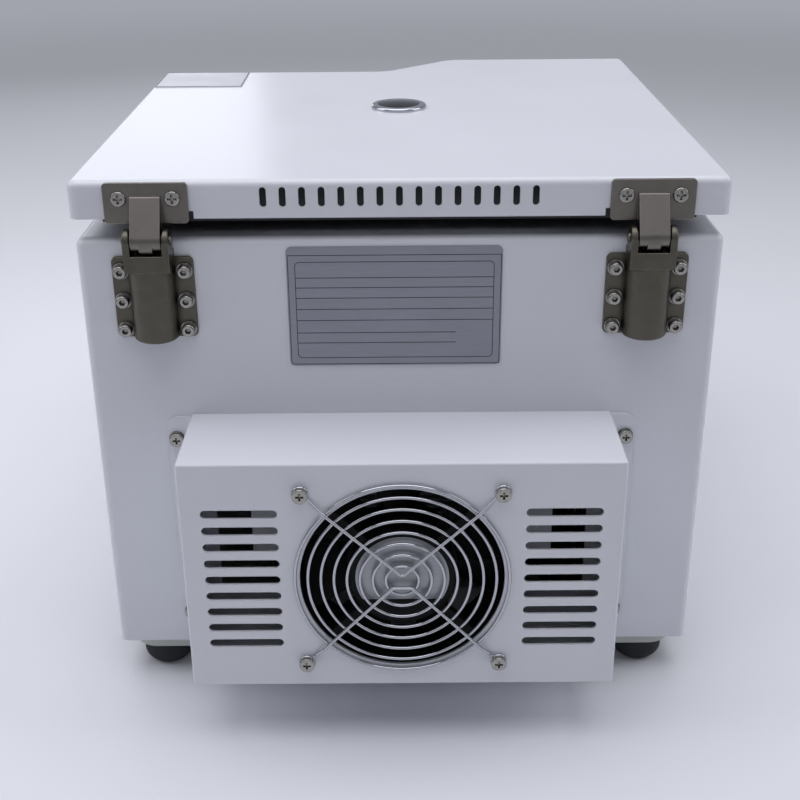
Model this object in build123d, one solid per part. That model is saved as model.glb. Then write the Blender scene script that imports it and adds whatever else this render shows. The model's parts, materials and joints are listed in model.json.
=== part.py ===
from build123d import *
import math
import os

# Bench microplate centrifuge: sheet-steel cabinet, hinged sheet-steel lid, swing-out
# plate rotor in a steel bowl, and a fan box on the rear wall.  Millimetres, +Z up.
# The front faces -Y, the fan box +Y.  The origin is under the middle of the machine,
# on the bench.  A "depth" d is measured forward from the rear face of the cabinet.

# ---------------------------------------------------------------- driving dimensions
# Cabinet and base
cabinet_width = 339.5
cabinet_height = 251.0
cabinet_depth = 420.0          # rear face to the front of the fascia
sheet = 1.5                    # folded steel sheet
bend_radius = 4.5              # outside radius of the folds
seam_cover = 2.9644            # fascia's height above the deck where the steel wrap ends
flange_width = 17.0            # bottom flange of the wrap, folded inwards
pan_drop = 10.0                # base pan shows this far below the wrap
pan_inset_side = 5.0
pan_inset_end = 8.0
pan_corner = 15.0
pan_lip = 12.0
base_screw_first = 60.0        # forward of the rear face
base_screw_pitch = 80.0
foot_height = 16.0
foot_radius = 15.0
foot_inset = 24.0              # foot centre from the side and from the rear
foot_edge = 8.0                # rounding of the foot's tread
foot_recess = 6.0              # for the screw's head
floor_slots = 7
fit = 0.3                      # gap between parts that are only set beside each other
screw_fit = 0.1                # radial clearance of a screw in its hole
turn_play = 0.05               # radial play of a turning fit
press_play = 0.02              # radial play of a seat that doesn't turn

# Lid
lid_width = 341.3
lid_overhang = 2.7             # lid stands out past the rear face
lid_depth_short = 310.3        # rear edge to front edge on the control side
lid_depth_long = 358.0         # rear edge to front edge on the other side
step_start_x = 10.0            # the S-shaped step in the front edge, seen from above
step_end_x = -38.0
step_radius = 20.0
lid_corner = 5.0
lid_gap = 11.5                 # daylight between the deck and the lid's skirt
skirt_height = 19.7
lid_edge_radius = 3.5
liner_inset = 12.8             # between the skirt and the liner
liner_wall = 2.0
liner_drop = 5.5               # liner hangs this far below the skirt
liner_post = 4.5               # posts that take the liner's screws
liner_screw_length = 10.0
liner_screw_inset = 22.0       # from the lid's edges
liner_screw_room = 2.0         # beyond the screw's tip
vent_count = 15
vent_pitch = 10.0
vent_width = 3.5
vent_height = 10.5
vent_rise = 11.0               # vent centre above the skirt's lower edge
notch_size = (12.0, 4.0)       # notch in the skirt beside each hinge leaf
notch_reach = 2.2              # notch shows this far beside the leaf
port_radius = 17.6             # bezel of the viewing port, over the rotor's axis
port_hole = 15.0
port_rise = 2.4
port_edge = 1.44
port_fit = 0.2
port_neck = 9.0
lens_radius = 13.2
lens_rise = 1.0
lens_seat = 1.0                # ledge under the lens, and its height above the lid
lid_plate_size = (60.0, 54.0)
lid_plate_margin = 2.6
lid_plate_corner = 2.0
plate_thickness = 0.6

# Hinges
hinge_spacing = 259.6          # between the two hinges' middles
pin_out = 9.9                  # hinge axis behind the rear face
pin_rise = 2.2                 # hinge axis above the deck
pin_radius = 2.5
pin_length = 26.0
pin_edge = 0.5
knuckle_radius = 6.0
arm_width = 15.4
arm_top = 22.0                 # top of the arm above the axis
arm_tip = (1.6, 0.2)           # radius of the arm's tip and its centre above the leaf
ear_thickness = 3.5
ear_gap = 0.6                  # side play of the arm between the ears
leaf_width = 43.3              # leaf screwed to the lid's skirt
leaf_height = 21.2
leaf_thickness = 2.0
leaf_corner = 2.0
leaf_screw_rise = 0.61         # share of the leaf's height
head_rise = 0.9                # crown of a raised countersunk head
leaf_drop = 1.8                # leaf reaches below the skirt
leaf_screw_offset = 13.8
flange_size = (43.0, 44.6)     # flange of the fixed bracket
flange_top = 9.2               # flange top below the deck
housing_radius = 12.0          # spring housing of the fixed bracket
housing_edge = 1.6
housing_lift = 0.6             # housing ends this far above the flange's lower edge
bracket_corner = 3.0
flange_edge = 0.6
block_edge = 0.8
block_clear = 0.9              # below the knuckle
block_drop = 4.7               # block's lower edge below the flange's top
ear_edge = 1.0
spring_floor = 8.0             # floor of the spring's bore above the flange's lower edge
bracket_screw_offset = 16.7
bracket_screw_pitch = 16.3
bracket_screw_first = 7.4      # first screw below the flange top
bracket_screw_length = 10.0
lid_opening = 80.0             # degrees
cam_offset = 2.0               # eccentric lobe on the arm that works the plunger
cam_radius = 7.5
cam_width = 6.8
cam_gap = 0.10
plunger_bore = 6.2
plunger_play = 0.1
plunger_length = 12.0
plunger_wall = 1.8             # from the housing's bore to the plunger's own
plunger_head = 4.0
spring_wire = 1.2
spring_coils = 7

# Bowl, rotor and motor
axis_depth = 177.0             # rotor axis forward of the rear face
bowl_radius = 120.0
bowl_sheet = 1.0
bowl_depth = 117.0             # floor below the deck
bowl_corner = 12.0
bowl_rim = 8.0
bowl_drain = 16.0              # hole in the floor round the motor's neck
sleeve_radius = 26.0           # rubber sleeve on the motor's neck
sleeve_groove = (3.0, 3.0)     # depth, and distance from either end
gasket_width = 8.0
gasket_inset = 0.5             # from either edge of its land
gasket_lip = 1.5
ring_wall = 4.0                # armour ring round the bowl
ring_gap = 3.0
ring_drop = (101.0, 15.0)      # lower and upper edge below the deck
stud_radius = 2.5
stud_offset = 9.0              # stud axis outside the armour ring
stud_ear = (8.0, 4.0)          # its middle below the ring's top, and its thickness
stud_nut = (4.4, 4.0)          # radius and height
stud_tail = 10.0               # stud below the ear
plate_size = (127.76, 85.48)   # a standard microplate's footprint
plate_play = 0.3
carrier_wall = 2.0
carrier_depth = 22.0
carrier_corner = 8.0
carrier_gap = 3.0              # between the two carriers over the axis
carrier_rim = 2.0              # rim above the trunnion axis
carrier_ledge = 7.0            # ledge under the plate's edge
carrier_rib = 8.0
pocket_corner = 3.5
opening_corner = 6.0
finger_notch = (30.0, 7.0)     # width and depth, in the long walls
trunnion_drop = 52.0           # trunnion axis below the deck
trunnion_radius = 3.0
trunnion_boss = 8.0
trunnion_boss_width = 4.0
pin_clear = 0.5                # pin's end from the tray's wall
pin_floor = 0.2                # metal between the pin's hole and the tray's wall
yoke_play = 0.5
yoke_cheek = 6.3
yoke_throat = 20.8             # throat of the V below the trunnions
yoke_arm = 6.0                 # arm's slant beside a trunnion
yoke_corner = 5.0
yoke_bar = (40.0, 8.0)         # width and thickness of the cross bar
yoke_clearance = 6.0           # bar above the bowl's floor
yoke_hub_radius = 13.0
yoke_hub_height = 18.0
nut_radius = 9.0
nut_height = 6.0
nut_flange = (11.0, 1.5)       # radius and thickness
shaft_radius = 6.0
spigot_radius = 5.0
spigot_setback = 0.5           # thread ends below the nut's top
motor_radius = 52.0
motor_height = 96.0
motor_flange = (62.0, 5.0)     # radius and thickness
motor_neck_radius = 13.0
motor_edge = 4.0
motor_fins = 12
motor_fin = (3.0, 5.0)         # height and thickness
fin_margin = (10.0, 2.0)       # from the barrel's foot and from the motor's plate
motor_cap = 2.0
shaft_room = 0.8
motor_plate_size = (196.0, 5.0)
motor_plate_corner = 14.0
motor_gap = 11.0               # between the bowl's floor and the motor's flange
damper_spacing = 160.0
damper_radius = 12.0
damper_height = 18.0
damper_waist = (15.0, 5.0)     # centre and radius of the groove's section
pillar_radius = 7.0
pillar_foot = (11.0, 3.0)      # radius and thickness
bearing_size = (14.0, 9.0)     # outer radius and width
bearing_offsets = (14.0, 12.0) # from the motor's foot and from its flange
shaft_setback = 4.0            # shaft's lower end above the motor's foot
armature_radius = 26.0
armature_margin = 24.0         # armature from either end of the motor
air_gap = 1.0

# Lid lock
lock_x = -90.0
lock_depth = 325.0
striker_size = (3.0, 20.0, 28.0)
striker_window = (9.0, 9.0)
striker_foot = (26.0, 2.0)     # length and thickness
striker_screw_pitch = 18.0
striker_play = 3.0             # round the striker in the deck's slot
bolt_setback = 0.5             # drawn-back bolt's nose from its guide's face
catch_gap = 5.0                # between the striker and the far wall
bolt_radius = 3.6
bolt_clear = 2.5               # drawn-back bolt's nose from the striker
bolt_core = 6.0                # bolt ends this far inside the solenoid's far wall
bolt_room = 2.0                # behind the drawn-back bolt
bolt_bevel = 1.2
lock_drop = 14.0               # bolt axis below the deck
lock_plate = (72.0, 40.0, 2.0)
lock_wall = 4.0
lock_wall_drop = 8.6           # walls reach this far below the bolt's axis
solenoid_size = (34.0, 24.0, 20.8)
solenoid_edge = 2.0
solenoid_gap = 3.0             # between the guide wall and the solenoid

# Fan box on the rear wall
box_width = 232.0
box_height = 137.0
box_depth = 62.0
box_flange_width = 260.0
box_flange_height = 140.0
box_flange_corner = 6.0
box_flange_screws = (249.4, 113.6)
box_screw_length = 8.0
box_edge = 1.2
fan_z = 107.3                  # fan axis above the bench
box_offset_z = 0.5             # box centre above the fan axis
flange_offset_z = -2.0
slot_length = 40.0
slot_width = 5.0
slot_pitch = 10.0
slot_rows = 9
slot_x = 84.8                  # middle of each column of slots
fan_hole = 54.5
wall_opening = (212.0, 92.0)   # opening in the rear wall behind the fan
baffle_span = (62.0, 86.0)
baffle_bottom = -22.0          # below the fan axis
baffle_back = 2.0              # from the rear wall
baffle_sheet = 1.2
baffle_flange = 12.0
fan_size = 119.5
fan_depth = 38.0
fan_bore = 56.3
fan_wall = 2.5                 # of the round duct
fan_corner = 6.0
fan_screw_spacing = 104.8
fan_flange = 4.5
stator_radius = 29.0
stator_recess = 0.4           # stator's cover behind the fan's face
stator_depth = 11.0
stator_edge = 1.5
stator_cap = 2.0
strut = (6.0, 5.5)             # width and depth
strut_setback = 1.5            # behind the stator's cover
blade_count = 7
blade_tip = 54.6
blade_pitch = (50.0, 28.0)     # at the root and at the tip, in degrees
blade_cover = 0.78             # share of the circle that the blades fill
blade_sheet = 1.8
impeller_radius = 30.0
impeller_depth = 20.0
impeller_gap = 1.0             # behind the stator
impeller_edge = 3.0
fan_shaft = 3.0
fan_shaft_cap = 1.0            # between the shaft's end and its bore's
fan_label_radius = 25.0
fan_label_chord = 13.3
label_thickness = 0.4
guard_wire = 1.8
guard_first_ring = 8.7
guard_pitch = 6.9
guard_rings = 8
guard_standoff = 1.2           # ring plane off the panel
guard_lap = 0.85               # welded wires lie this many diameters apart
guard_vertex = 4.0             # bent wires pass this far from the fan's axis
guard_flats = (5.0, 0.8)       # half length of each bent wire's middle, lower and upper
guard_knee = 4.0               # wires bend this far outside the last ring
eyelet_radius = 4.6

# Rating plate, inlet and switch
rating_size = (113.8, 67.0)
rating_x = 2.9
rating_top = 4.8               # below the deck
rating_corner = 3.0
inlet_depth = 62.0             # forward of the rear face, on the control side
switch_depth = 102.0
socket_z = 78.0
lip = 2.0                      # thickness of the inlet's flange and the switch's bezel
lip_edge = 0.6
inlet_flange = (31.0, 25.0)
inlet_corner = 2.5
inlet_body = (27.0, 20.0, 28.0)
inlet_cavity = (24.2, 17.0, 16.0)
inlet_cut = 5.0                # cut corners of the plug's recess
pin_places = ((-7.0, -2.0), (0.0, 2.0), (7.0, -2.0))
pin_section = (2.0, 4.0)
pin_reach = 11.0
pin_root = 1.0                 # set into the recess's floor
switch_bezel_size = (17.0, 25.0)
switch_corner = 1.5
switch_body = (14.6, 21.6, 16.0)
switch_cavity = 12.5
rocker_play = 0.6              # round the rocker's ends
rocker_length = 18.6
rocker_width = 11.6
rocker_rise = 3.2              # ends of the V face above the wall
rocker_valley = 1.4
rocker_taper = 0.6
rocker_side = 3.0              # side edge below the wall
rocker_foot = (3.0, 7.5)       # half length of the foot and its depth
rocker_tilt = 10.0
pivot_radius = 1.5             # stubs that the rocker turns on
pivot_length = 13.2

# Side vents
side_vent_count = 9
side_vent_pitch = 9.0
side_vent_size = (4.0, 44.0)
side_vent_depth = 262.0
side_vent_z = 84.0

# Fascia and controls
fascia_wall = 3.0
fascia_gap = 3.0               # between the lid's edge and the fascia
fascia_top = 26.0              # fascia's highest edge above the deck
fascia_slope = 25.0            # degrees
fascia_nose = 14.0
display_side = 81.75            # display's middle from the side of the cabinet
display_width = 96.0
display_share = 0.381          # display's height as a share of the slope's length
display_place = 0.2734         # display's centre, as a share down the slope
display_thickness = 2.0
display_ledge = 3.0            # ledge under the pane's edge
key_size = (24.0, 12.0)
key_rise = 1.4
key_travel = 1.0
key_corner = 2.5
key_stem = 2.5
key_lip = 1.5
key_pitch = 34.0
key_place = 0.6463             # keys and knob, as a share down the slope
knob_side = 65.75              # knob's axis from the other side
knob_radius = 16.0
knob_height = 13.0
knob_shaft = 3.0
knob_taper = 1.5               # narrower at the top
knob_edge = 1.2
knob_mark = (1.6, 6.0, 1.0)    # pointer groove
knob_flutes = 24
flute_radius = 1.5
board_width = 124.0
board_share = 0.663            # control board's length as a share of the slope's
board_place = 0.4723           # its centre, as a share down the slope
deck_notch_margin = 8.0        # deck is cut back round the control board
board_drop = 12.0              # control board under the sloping face
boss_radius = 3.5
boss_inset = 6.0
switch_side = 6.0              # a key's switch on the board
switch_height = 3.5
module_margin = (12.0, 10.0)   # display module smaller than the pane
encoder_size = (13.0, 13.0, 7.0)
encoder_legs = 6.0             # small board longer than the encoder
board_thickness = 1.6
standoff_floor = 2.0           # below a standoff's screw
power_board_length = 104.0
power_board_depth = 78.0
power_board_side = 22.5        # from the side of the cabinet
power_board_gap = 2.5          # from the motor's pillar
standoff_height = 8.0
standoff_radius = 3.0
heat_sink = (44.0, 28.0)       # length and height
heat_sink_inset = 9.0
heat_sink_free = 24.0          # board beside the heat sink
heat_sink_offset = 20.0        # forward of the board's middle
heat_base = 3.0
heat_fin = 1.4
heat_fins = 8
capacitor = (9.0, 30.0)        # radius and height
capacitor_ys = (2.0, -17.8)    # behind the board's middle
capacitor_edge = 1.0
transformer = (22.0, 18.0, 16.0)
coil = (10.0, 22.0, 11.0)
coil_offset = 28.0             # behind the board's middle

# Screws: head radius, head height, shank radius
nut_grip = 4.0                 # screw beyond the last sheet
through = 10.0                 # length of the cutters that go through a sheet
m3_flat = (4.0, 1.9, 1.5)
m4_pan = (4.0, 2.8, 2.0)
m4_socket = (3.5, 3.6, 2.0)
m4_round = (4.2, 2.8, 2.0)     # of the fan guard
m3_pan = (2.8, 1.8, 1.5)
washer = (4.4, 0.9)

# ---------------------------------------------------------------- derived places
guard_over = guard_standoff + guard_lap * guard_wire
guard_reach = max(guard_over + guard_wire / 2, guard_wire + m4_round[1])
rear_y = (cabinet_depth + box_depth + guard_reach) / 2 - box_depth - guard_reach
half_width = cabinet_width / 2
wrap_bottom = foot_height + pan_drop
deck_z = wrap_bottom + cabinet_height
bowl_floor_z = deck_z - bowl_depth
ring_span = tuple(deck_z - drop for drop in ring_drop)
trunnion_z = deck_z - trunnion_drop
motor_top_z = bowl_floor_z - motor_gap
pan_top = foot_height + sheet
skirt_z = deck_z + lid_gap
lid_top = skirt_z + skirt_height
liner_z = skirt_z - liner_drop
lid_rear = rear_y + lid_overhang
axis_y = rear_y - axis_depth
pin_y = rear_y + pin_out
pin_z = deck_z + pin_rise
flange_top_z = deck_z - flange_top
flange_bottom_z = flange_top_z - flange_size[1]
box_rear = rear_y + box_depth
fan_face = box_rear - sheet            # the fan's outer face, against the panel
box_z = fan_z + box_offset_z
box_flange_z = fan_z + flange_offset_z
inner_half = half_width - sheet
hinge_xs = (-hinge_spacing / 2, hinge_spacing / 2)
cam_phase = math.radians(lid_opening / 2)
cam_low = cam_offset * math.sin(cam_phase) + cam_radius      # lobe below the axis, lid shut
plunger_top = pin_z - cam_low - cam_gap
plunger_y = pin_y - cam_offset * math.cos(cam_phase)
spring_base = flange_bottom_z + spring_floor
carrier_size = tuple(side + 2 * (plate_play + carrier_wall) for side in plate_size)
trunnion_r = (carrier_size[1] + carrier_gap) / 2
carrier_top = trunnion_z + carrier_rim
boss_face = carrier_size[0] / 2 + trunnion_boss_width
cheek_inner = boss_face + yoke_play
cheek_outer = cheek_inner + yoke_cheek
yoke_z = bowl_floor_z + yoke_clearance
hub_top = yoke_z + yoke_hub_height
motor_plate_z = motor_top_z - motor_flange[1] - motor_plate_size[1]
motor_bottom = motor_top_z - motor_height
neck_top = bowl_floor_z + yoke_clearance / 2
lock_y = rear_y - lock_depth
bolt_z = deck_z - lock_drop
bolt_tip = lock_x + striker_size[0] / 2 + bolt_clear
armour_inner = bowl_radius + bowl_sheet + ring_gap
armour_outer = armour_inner + ring_wall
fascia_back = lid_depth_short - lid_overhang + fascia_gap
slope = math.radians(fascia_slope)
slope_length = (cabinet_depth - fascia_back) / math.cos(slope)
seam_depth = fascia_back + (fascia_top - seam_cover) / math.tan(slope)
display_x = half_width - display_side
knob_x = knob_side - half_width
display_size = (display_width, display_share * slope_length)
display_run = display_place * slope_length    # down the slope from its top edge
key_run = key_place * slope_length
board_size = (board_width, board_share * slope_length)
board_run = board_place * slope_length
display_module = tuple(side - margin for side, margin in zip(display_size, module_margin))
board_inner = damper_spacing / 2 + pillar_radius + power_board_gap
power_board = (half_width - power_board_side - board_inner, power_board_length)
power_board_x = -board_inner - power_board[0] / 2
guard_hole_xs = (-fan_screw_spacing / 2, fan_screw_spacing / 2)
foot_xs = (-half_width + foot_inset, half_width - foot_inset)
foot_ys = (rear_y - foot_inset, rear_y - cabinet_depth + foot_inset + fascia_nose)


# ---------------------------------------------------------------- helpers
def block(xs, ys, zs):
    """A box between two values along each axis."""
    size = [high - low for low, high in (xs, ys, zs)]
    middle = [(high + low) / 2 for low, high in (xs, ys, zs)]
    return Pos(*middle) * Box(*size)


def about(middle, size):
    """The two ends of a length about its middle."""
    return (middle - size / 2, middle + size / 2)


def rod_x(radius, xs, y, z):
    """A cylinder along X."""
    return Pos((xs[0] + xs[1]) / 2, y, z) * Rot(0, 90, 0) * Cylinder(radius, xs[1] - xs[0])


def rod_y(radius, ys, x, z):
    """A cylinder along Y."""
    return Pos(x, (ys[0] + ys[1]) / 2, z) * Rot(90, 0, 0) * Cylinder(radius, ys[1] - ys[0])


def rod_z(radius, zs, x, y):
    """A cylinder along Z."""
    return Pos(x, y, (zs[0] + zs[1]) / 2) * Cylinder(radius, zs[1] - zs[0])


def ring_z(outer, inner, zs, x, y):
    """A tube along Z."""
    return rod_z(outer, zs, x, y) - rod_z(inner, (zs[0] - 1, zs[1] + 1), x, y)


def upright(size, corner, x, y, z):
    """A rounded rectangle facing along Y, as a face."""
    return Plane(origin=(x, y, z), x_dir=(1, 0, 0), z_dir=(0, -1, 0)) * RectangleRounded(*size, corner)


def wire_run(points, radius):
    """Round wire through points, with round joints."""
    runs = [Pos(*points[0]) * Sphere(radius)]
    for start, end in zip(points, points[1:]):
        line = Vector(*end) - Vector(*start)
        runs.append(Solid.make_cylinder(radius, line.length, Plane(origin=start, z_dir=line)))
        runs.append(Pos(*end) * Sphere(radius))
    return Part() + runs


def screw(plane, head, length, socket=True, with_washer=False):
    """A screw whose head stands on the plane and whose shank goes in against its normal."""
    head_radius, head_height, shank_radius = head
    lift = washer[1] if with_washer else 0
    cap = Pos(0, 0, lift + head_height / 2) * Cylinder(head_radius, head_height)
    cap = fillet(cap.edges().group_by(Axis.Z)[-1], head_height / 4)
    shape = cap + Pos(0, 0, (lift - length) / 2) * Cylinder(shank_radius, length + lift)
    if with_washer:
        shape += Pos(0, 0, lift / 2) * Cylinder(washer[0], lift)
    shape -= Pos(0, 0, lift + head_height) * recess(head_radius, head_height, socket)
    return plane * shape


def recess(head_radius, head_height, socket):
    """Hexagon socket or cross recess in a screw's head."""
    if socket:
        return Pos(0, 0, -head_height / 2) * extrude(RegularPolygon(head_radius / 2, 6), head_height)
    slot = Box(head_radius, head_radius / 4, head_height)
    return slot + Rot(0, 0, 90) * slot


def flat_screw(plane, length, rise=0):
    """A countersunk screw with its head flush with the plane, or crowned above it."""
    head_radius, head_height, shank_radius = m3_flat
    cone = Pos(0, 0, -head_height / 2) * Cone(shank_radius, head_radius, head_height)
    shape = cone + Pos(0, 0, -length / 2) * Cylinder(shank_radius, length)
    if rise:
        crown = Pos(0, 0, rise / 2) * Cylinder(head_radius, rise)
        shape += fillet(crown.edges().group_by(Axis.Z)[-1], 0.9 * rise)
    return plane * (shape - Pos(0, 0, rise) * recess(head_radius * 1.2, head_height, False))


def countersink(length):
    """The hole for a countersunk screw, from its mouth downwards."""
    head_radius, head_height, shank_radius = m3_flat
    hole = shank_radius + screw_fit
    cone = Cone(hole, head_radius + screw_fit, head_height)
    return Pos(0, 0, -head_height / 2) * cone + Pos(0, 0, -length / 2) * Cylinder(hole, length)


def facing_rear(x, y, z):
    """A plane that faces away from the machine's rear."""
    return Plane(origin=(x, y, z), x_dir=(-1, 0, 0), z_dir=(0, 1, 0))


def lid_outline(grow):
    """The lid seen from above, with its stepped front edge, grown outwards all round."""
    half = lid_width / 2
    front_short = lid_rear - lid_depth_short
    front_long = lid_rear - lid_depth_long
    corners = [
        (-half, lid_rear), (-half, front_long), (step_end_x, front_long),
        (step_start_x, front_short), (half, front_short), (half, lid_rear),
    ]
    face = make_face(Polyline(*corners, close=True))
    face = fillet([v for v in face.vertices() if abs(v.X) < half - 1], step_radius)
    face = fillet([v for v in face.vertices() if abs(v.X) > half - 1], lid_corner)
    return offset(face, grow) if grow else face


def export(name, shape):
    export_step(shape, os.path.join("parts", name + ".step"))


# ---------------------------------------------------------------- cabinet and base
def cabinet_shell():
    """Rear wall, sides and deck folded from one sheet, open at the front and below."""
    front = rear_y - seam_depth
    outer = folded(block((-half_width, half_width), (front, rear_y), (wrap_bottom, deck_z)), bend_radius)
    inner = block((-inner_half, inner_half), (front - 1, rear_y - sheet),
                  (wrap_bottom + sheet, deck_z - sheet))
    shell = outer - folded(inner, bend_radius - sheet)
    shell -= block(about(0, cabinet_width - 2 * flange_width), (front - 1, rear_y - flange_width),
                   (wrap_bottom - 1, wrap_bottom + sheet + 1))
    shell -= rod_z(bowl_radius + bowl_sheet + fit, about(deck_z, through), 0, axis_y)
    slot = [side + 2 * striker_play for side in striker_size[:2]]
    shell -= block(about(lock_x, slot[0]), about(lock_y, slot[1]), about(deck_z, through))
    shell -= block(about(0, wall_opening[0]), about(rear_y, through), about(fan_z, wall_opening[1]))
    for x, z in box_screw_places():
        shell -= rod_y(m4_pan[2] + screw_fit, about(rear_y, through), x, z)
    for x, z in bracket_screw_places():
        shell -= rod_y(m4_socket[2] + screw_fit, about(rear_y, through), x, z)
    for x, y in base_screw_places():
        shell -= rod_z(m4_pan[2] + screw_fit, about(wrap_bottom, through), x, y)
    side = about(half_width, through)
    shell -= block(about(display_x, board_size[0] + 2 * deck_notch_margin),
                   (front - 1, rear_y - fascia_back - fascia_wall), about(deck_z, through))
    shell -= block(side, about(rear_y - inlet_depth, inlet_body[0]), about(socket_z, inlet_body[1]))
    shell -= block(side, about(rear_y - switch_depth, switch_body[0]), about(socket_z, switch_body[1]))
    return shell - side_vents() - stud_holes()


def folded(box, radius):
    """Rounds the folds of the wrap: the rear uprights and the three edges of the deck."""
    folds = box.edges().filter_by(Axis.Z).group_by(Axis.Y)[-1]
    deck = box.edges().group_by(Axis.Z)[-1]
    folds += deck.filter_by(Axis.Y)
    folds += deck.filter_by(Axis.X).group_by(Axis.Y)[-1]
    return fillet(folds, radius)


def side_vents():
    """Rows of upright slots through both sides."""
    slot = Part()
    for row in range(side_vent_count):
        y = rear_y - side_vent_depth - (row - (side_vent_count - 1) / 2) * side_vent_pitch
        straight = side_vent_size[1] - side_vent_size[0]
        span = (-half_width - 5, half_width + 5)
        slot += block(span, about(y, side_vent_size[0]), about(side_vent_z, straight))
        for z in about(side_vent_z, straight):
            slot += rod_x(side_vent_size[0] / 2, span, y, z)
    return slot


def stud_places():
    """The four studs that hang the armour ring from the deck."""
    radius = armour_outer + stud_offset
    return [(radius * math.cos(a), axis_y + radius * math.sin(a))
            for a in (math.radians(45 + 90 * k) for k in range(4))]


def stud_holes():
    holes = Part()
    for x, y in stud_places():
        holes += rod_z(stud_radius + screw_fit, about(deck_z, through), x, y)
    return holes


def base_screw_places():
    """Screws that hold the base pan to the flange of the wrap."""
    x = half_width - pan_inset_side - sheet - m4_pan[0] - fit
    ys = [rear_y - base_screw_first - base_screw_pitch * k for k in range(4)]
    return [(side * x, y) for side in (-1, 1) for y in ys]


def pan_outline(grow):
    """The base pan seen from above."""
    width = cabinet_width - 2 * pan_inset_side
    length = cabinet_depth - 2 * pan_inset_end
    middle = rear_y - cabinet_depth / 2
    return Pos(0, middle) * RectangleRounded(width + 2 * grow, length + 2 * grow, pan_corner + grow)


def base_pan():
    """Shallow pressed tray with a lip turned in under the wrap's flange."""
    pan = extrude(Pos(0, 0, foot_height) * pan_outline(0), pan_drop)
    pan -= extrude(Pos(0, 0, pan_top) * pan_outline(-sheet), pan_drop - 2 * sheet)
    pan -= extrude(Pos(0, 0, pan_top) * pan_outline(-pan_lip), pan_drop)
    for x, y in base_screw_places():
        pan -= rod_z(m4_pan[2] + screw_fit, about(wrap_bottom - sheet, through / 2), x, y)
        pan -= rod_z(m4_pan[0] + 1, (foot_height - 1, pan_top + 1), x, y)
    for x in foot_xs:
        for y in foot_ys:
            pan -= rod_z(m4_pan[2] + screw_fit, (foot_height - 1, pan_top + 1), x, y)
    for row in range(floor_slots):
        y = axis_y + (row - (floor_slots - 1) / 2) * slot_pitch
        pan -= block(about(0, slot_length * 2), about(y, slot_width), (foot_height - 1, pan_top + 1))
    return pan


def rubber_feet():
    """Round feet with a soft-edged tread and a recess for the screw."""
    foot = rod_z(foot_radius, (0, foot_height), 0, 0)
    foot = fillet(foot.edges().group_by(Axis.Z)[0], foot_edge)
    foot -= rod_z(m4_pan[0] + 1, (-1, foot_recess), 0, 0)
    foot -= rod_z(m4_pan[2] + screw_fit, (0, foot_height + 1), 0, 0)
    return [Pos(x, y, 0) * foot for x in foot_xs for y in foot_ys]


def base_screws():
    """Pan-head screws of the feet and of the base pan, all driven from below."""
    screws = []
    for x in foot_xs:
        for y in foot_ys:
            place = Plane(origin=(x, y, foot_recess), z_dir=(0, 0, -1))
            length = foot_height - foot_recess + sheet + nut_grip
            screws.append(screw(place, m4_pan, length, socket=False))
    for x, y in base_screw_places():
        place = Plane(origin=(x, y, wrap_bottom - sheet), z_dir=(0, 0, -1))
        screws.append(screw(place, m4_pan, 2 * sheet + nut_grip, socket=False))
    return screws


def rating_plate():
    """Thin plate riveted flat on the rear wall."""
    z = deck_z - rating_top - rating_size[1] / 2
    return extrude(upright(rating_size, rating_corner, rating_x, rear_y, z), -plate_thickness)


# ---------------------------------------------------------------- fascia and controls
def fascia_profile(inset, back, bottom, open_to):
    """Side view of the fascia: upright front, round nose and sloping control face."""
    front = rear_y - cabinet_depth + inset
    top = deck_z + fascia_top - inset / math.cos(slope)
    rear = rear_y - back
    crest = (rear, top - (back - fascia_back) * math.tan(slope))
    brow = (front, top - (cabinet_depth - inset - fascia_back) * math.tan(slope))
    points = [crest, brow, (front, bottom), (rear_y - open_to, bottom), (rear_y - open_to, deck_z),
              (rear, deck_z)]
    line = Polyline(*[(0, y, z) for y, z in points], close=True)
    face = make_face(line)
    nose = min(face.vertices(), key=lambda v: abs(v.Y - brow[0]) + abs(v.Z - brow[1]))
    return fillet(nose, fascia_nose - inset)


def on_fascia_rim(edge):
    """True for the side edges that are seen: the front, the nose and the slope."""
    middle = edge.center()
    planes = (middle.Z - wrap_bottom, middle.Z - deck_z, middle.Y - rear_y + seam_depth,
              middle.Y - rear_y + fascia_back)
    return abs(abs(middle.X) - half_width) < 0.01 and all(abs(gap) > 0.01 for gap in planes)


def fascia_shell():
    """Moulded front with the sloping control face, hollow and open to the cabinet."""
    outer = extrude(fascia_profile(0, fascia_back, wrap_bottom, seam_depth), half_width, both=True)
    outer = fillet(outer.edges().filter_by(on_fascia_rim), bend_radius)
    inner = extrude(fascia_profile(fascia_wall, fascia_back + fascia_wall, wrap_bottom + fascia_wall,
                                   seam_depth - 1), half_width - fascia_wall, both=True)
    lid_cut = extrude(Pos(0, 0, deck_z) * lid_outline(fascia_gap), fascia_top + 1)
    wall_cut = extrude(Pos(0, 0, deck_z - 1) * lid_outline(fascia_gap + fascia_wall), fascia_top + 3)
    shell = (outer - lid_cut) - (inner - wall_cut)
    window = on_slope(display_x, display_run)
    seat = [side + 2 * fit for side in display_size]
    shell -= window * Pos(0, 0, -display_thickness / 2) * Box(*seat, display_thickness)
    view = [side - 2 * display_ledge for side in display_size]
    shell -= window * Box(*view, 4 * fascia_wall)
    for x in key_xs:
        hole = RectangleRounded(key_size[0] + 2 * fit, key_size[1] + 2 * fit, key_corner)
        shell -= extrude(on_slope(x, key_run) * hole, fascia_wall * 2, both=True)
    shell -= on_slope(knob_x, key_run) * Cylinder(knob_shaft + fit, 4 * fascia_wall)
    for x, run in board_corners():
        depth = board_drop - fascia_wall
        boss = Pos(0, 0, -fascia_wall - depth / 2) * Cylinder(boss_radius, depth)
        pilot = Pos(0, 0, -board_drop) * Cylinder(m3_flat[2] + screw_fit, 2 * depth)
        shell += on_slope(x, run) * boss
        shell -= on_slope(x, run) * pilot
    return shell


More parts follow.
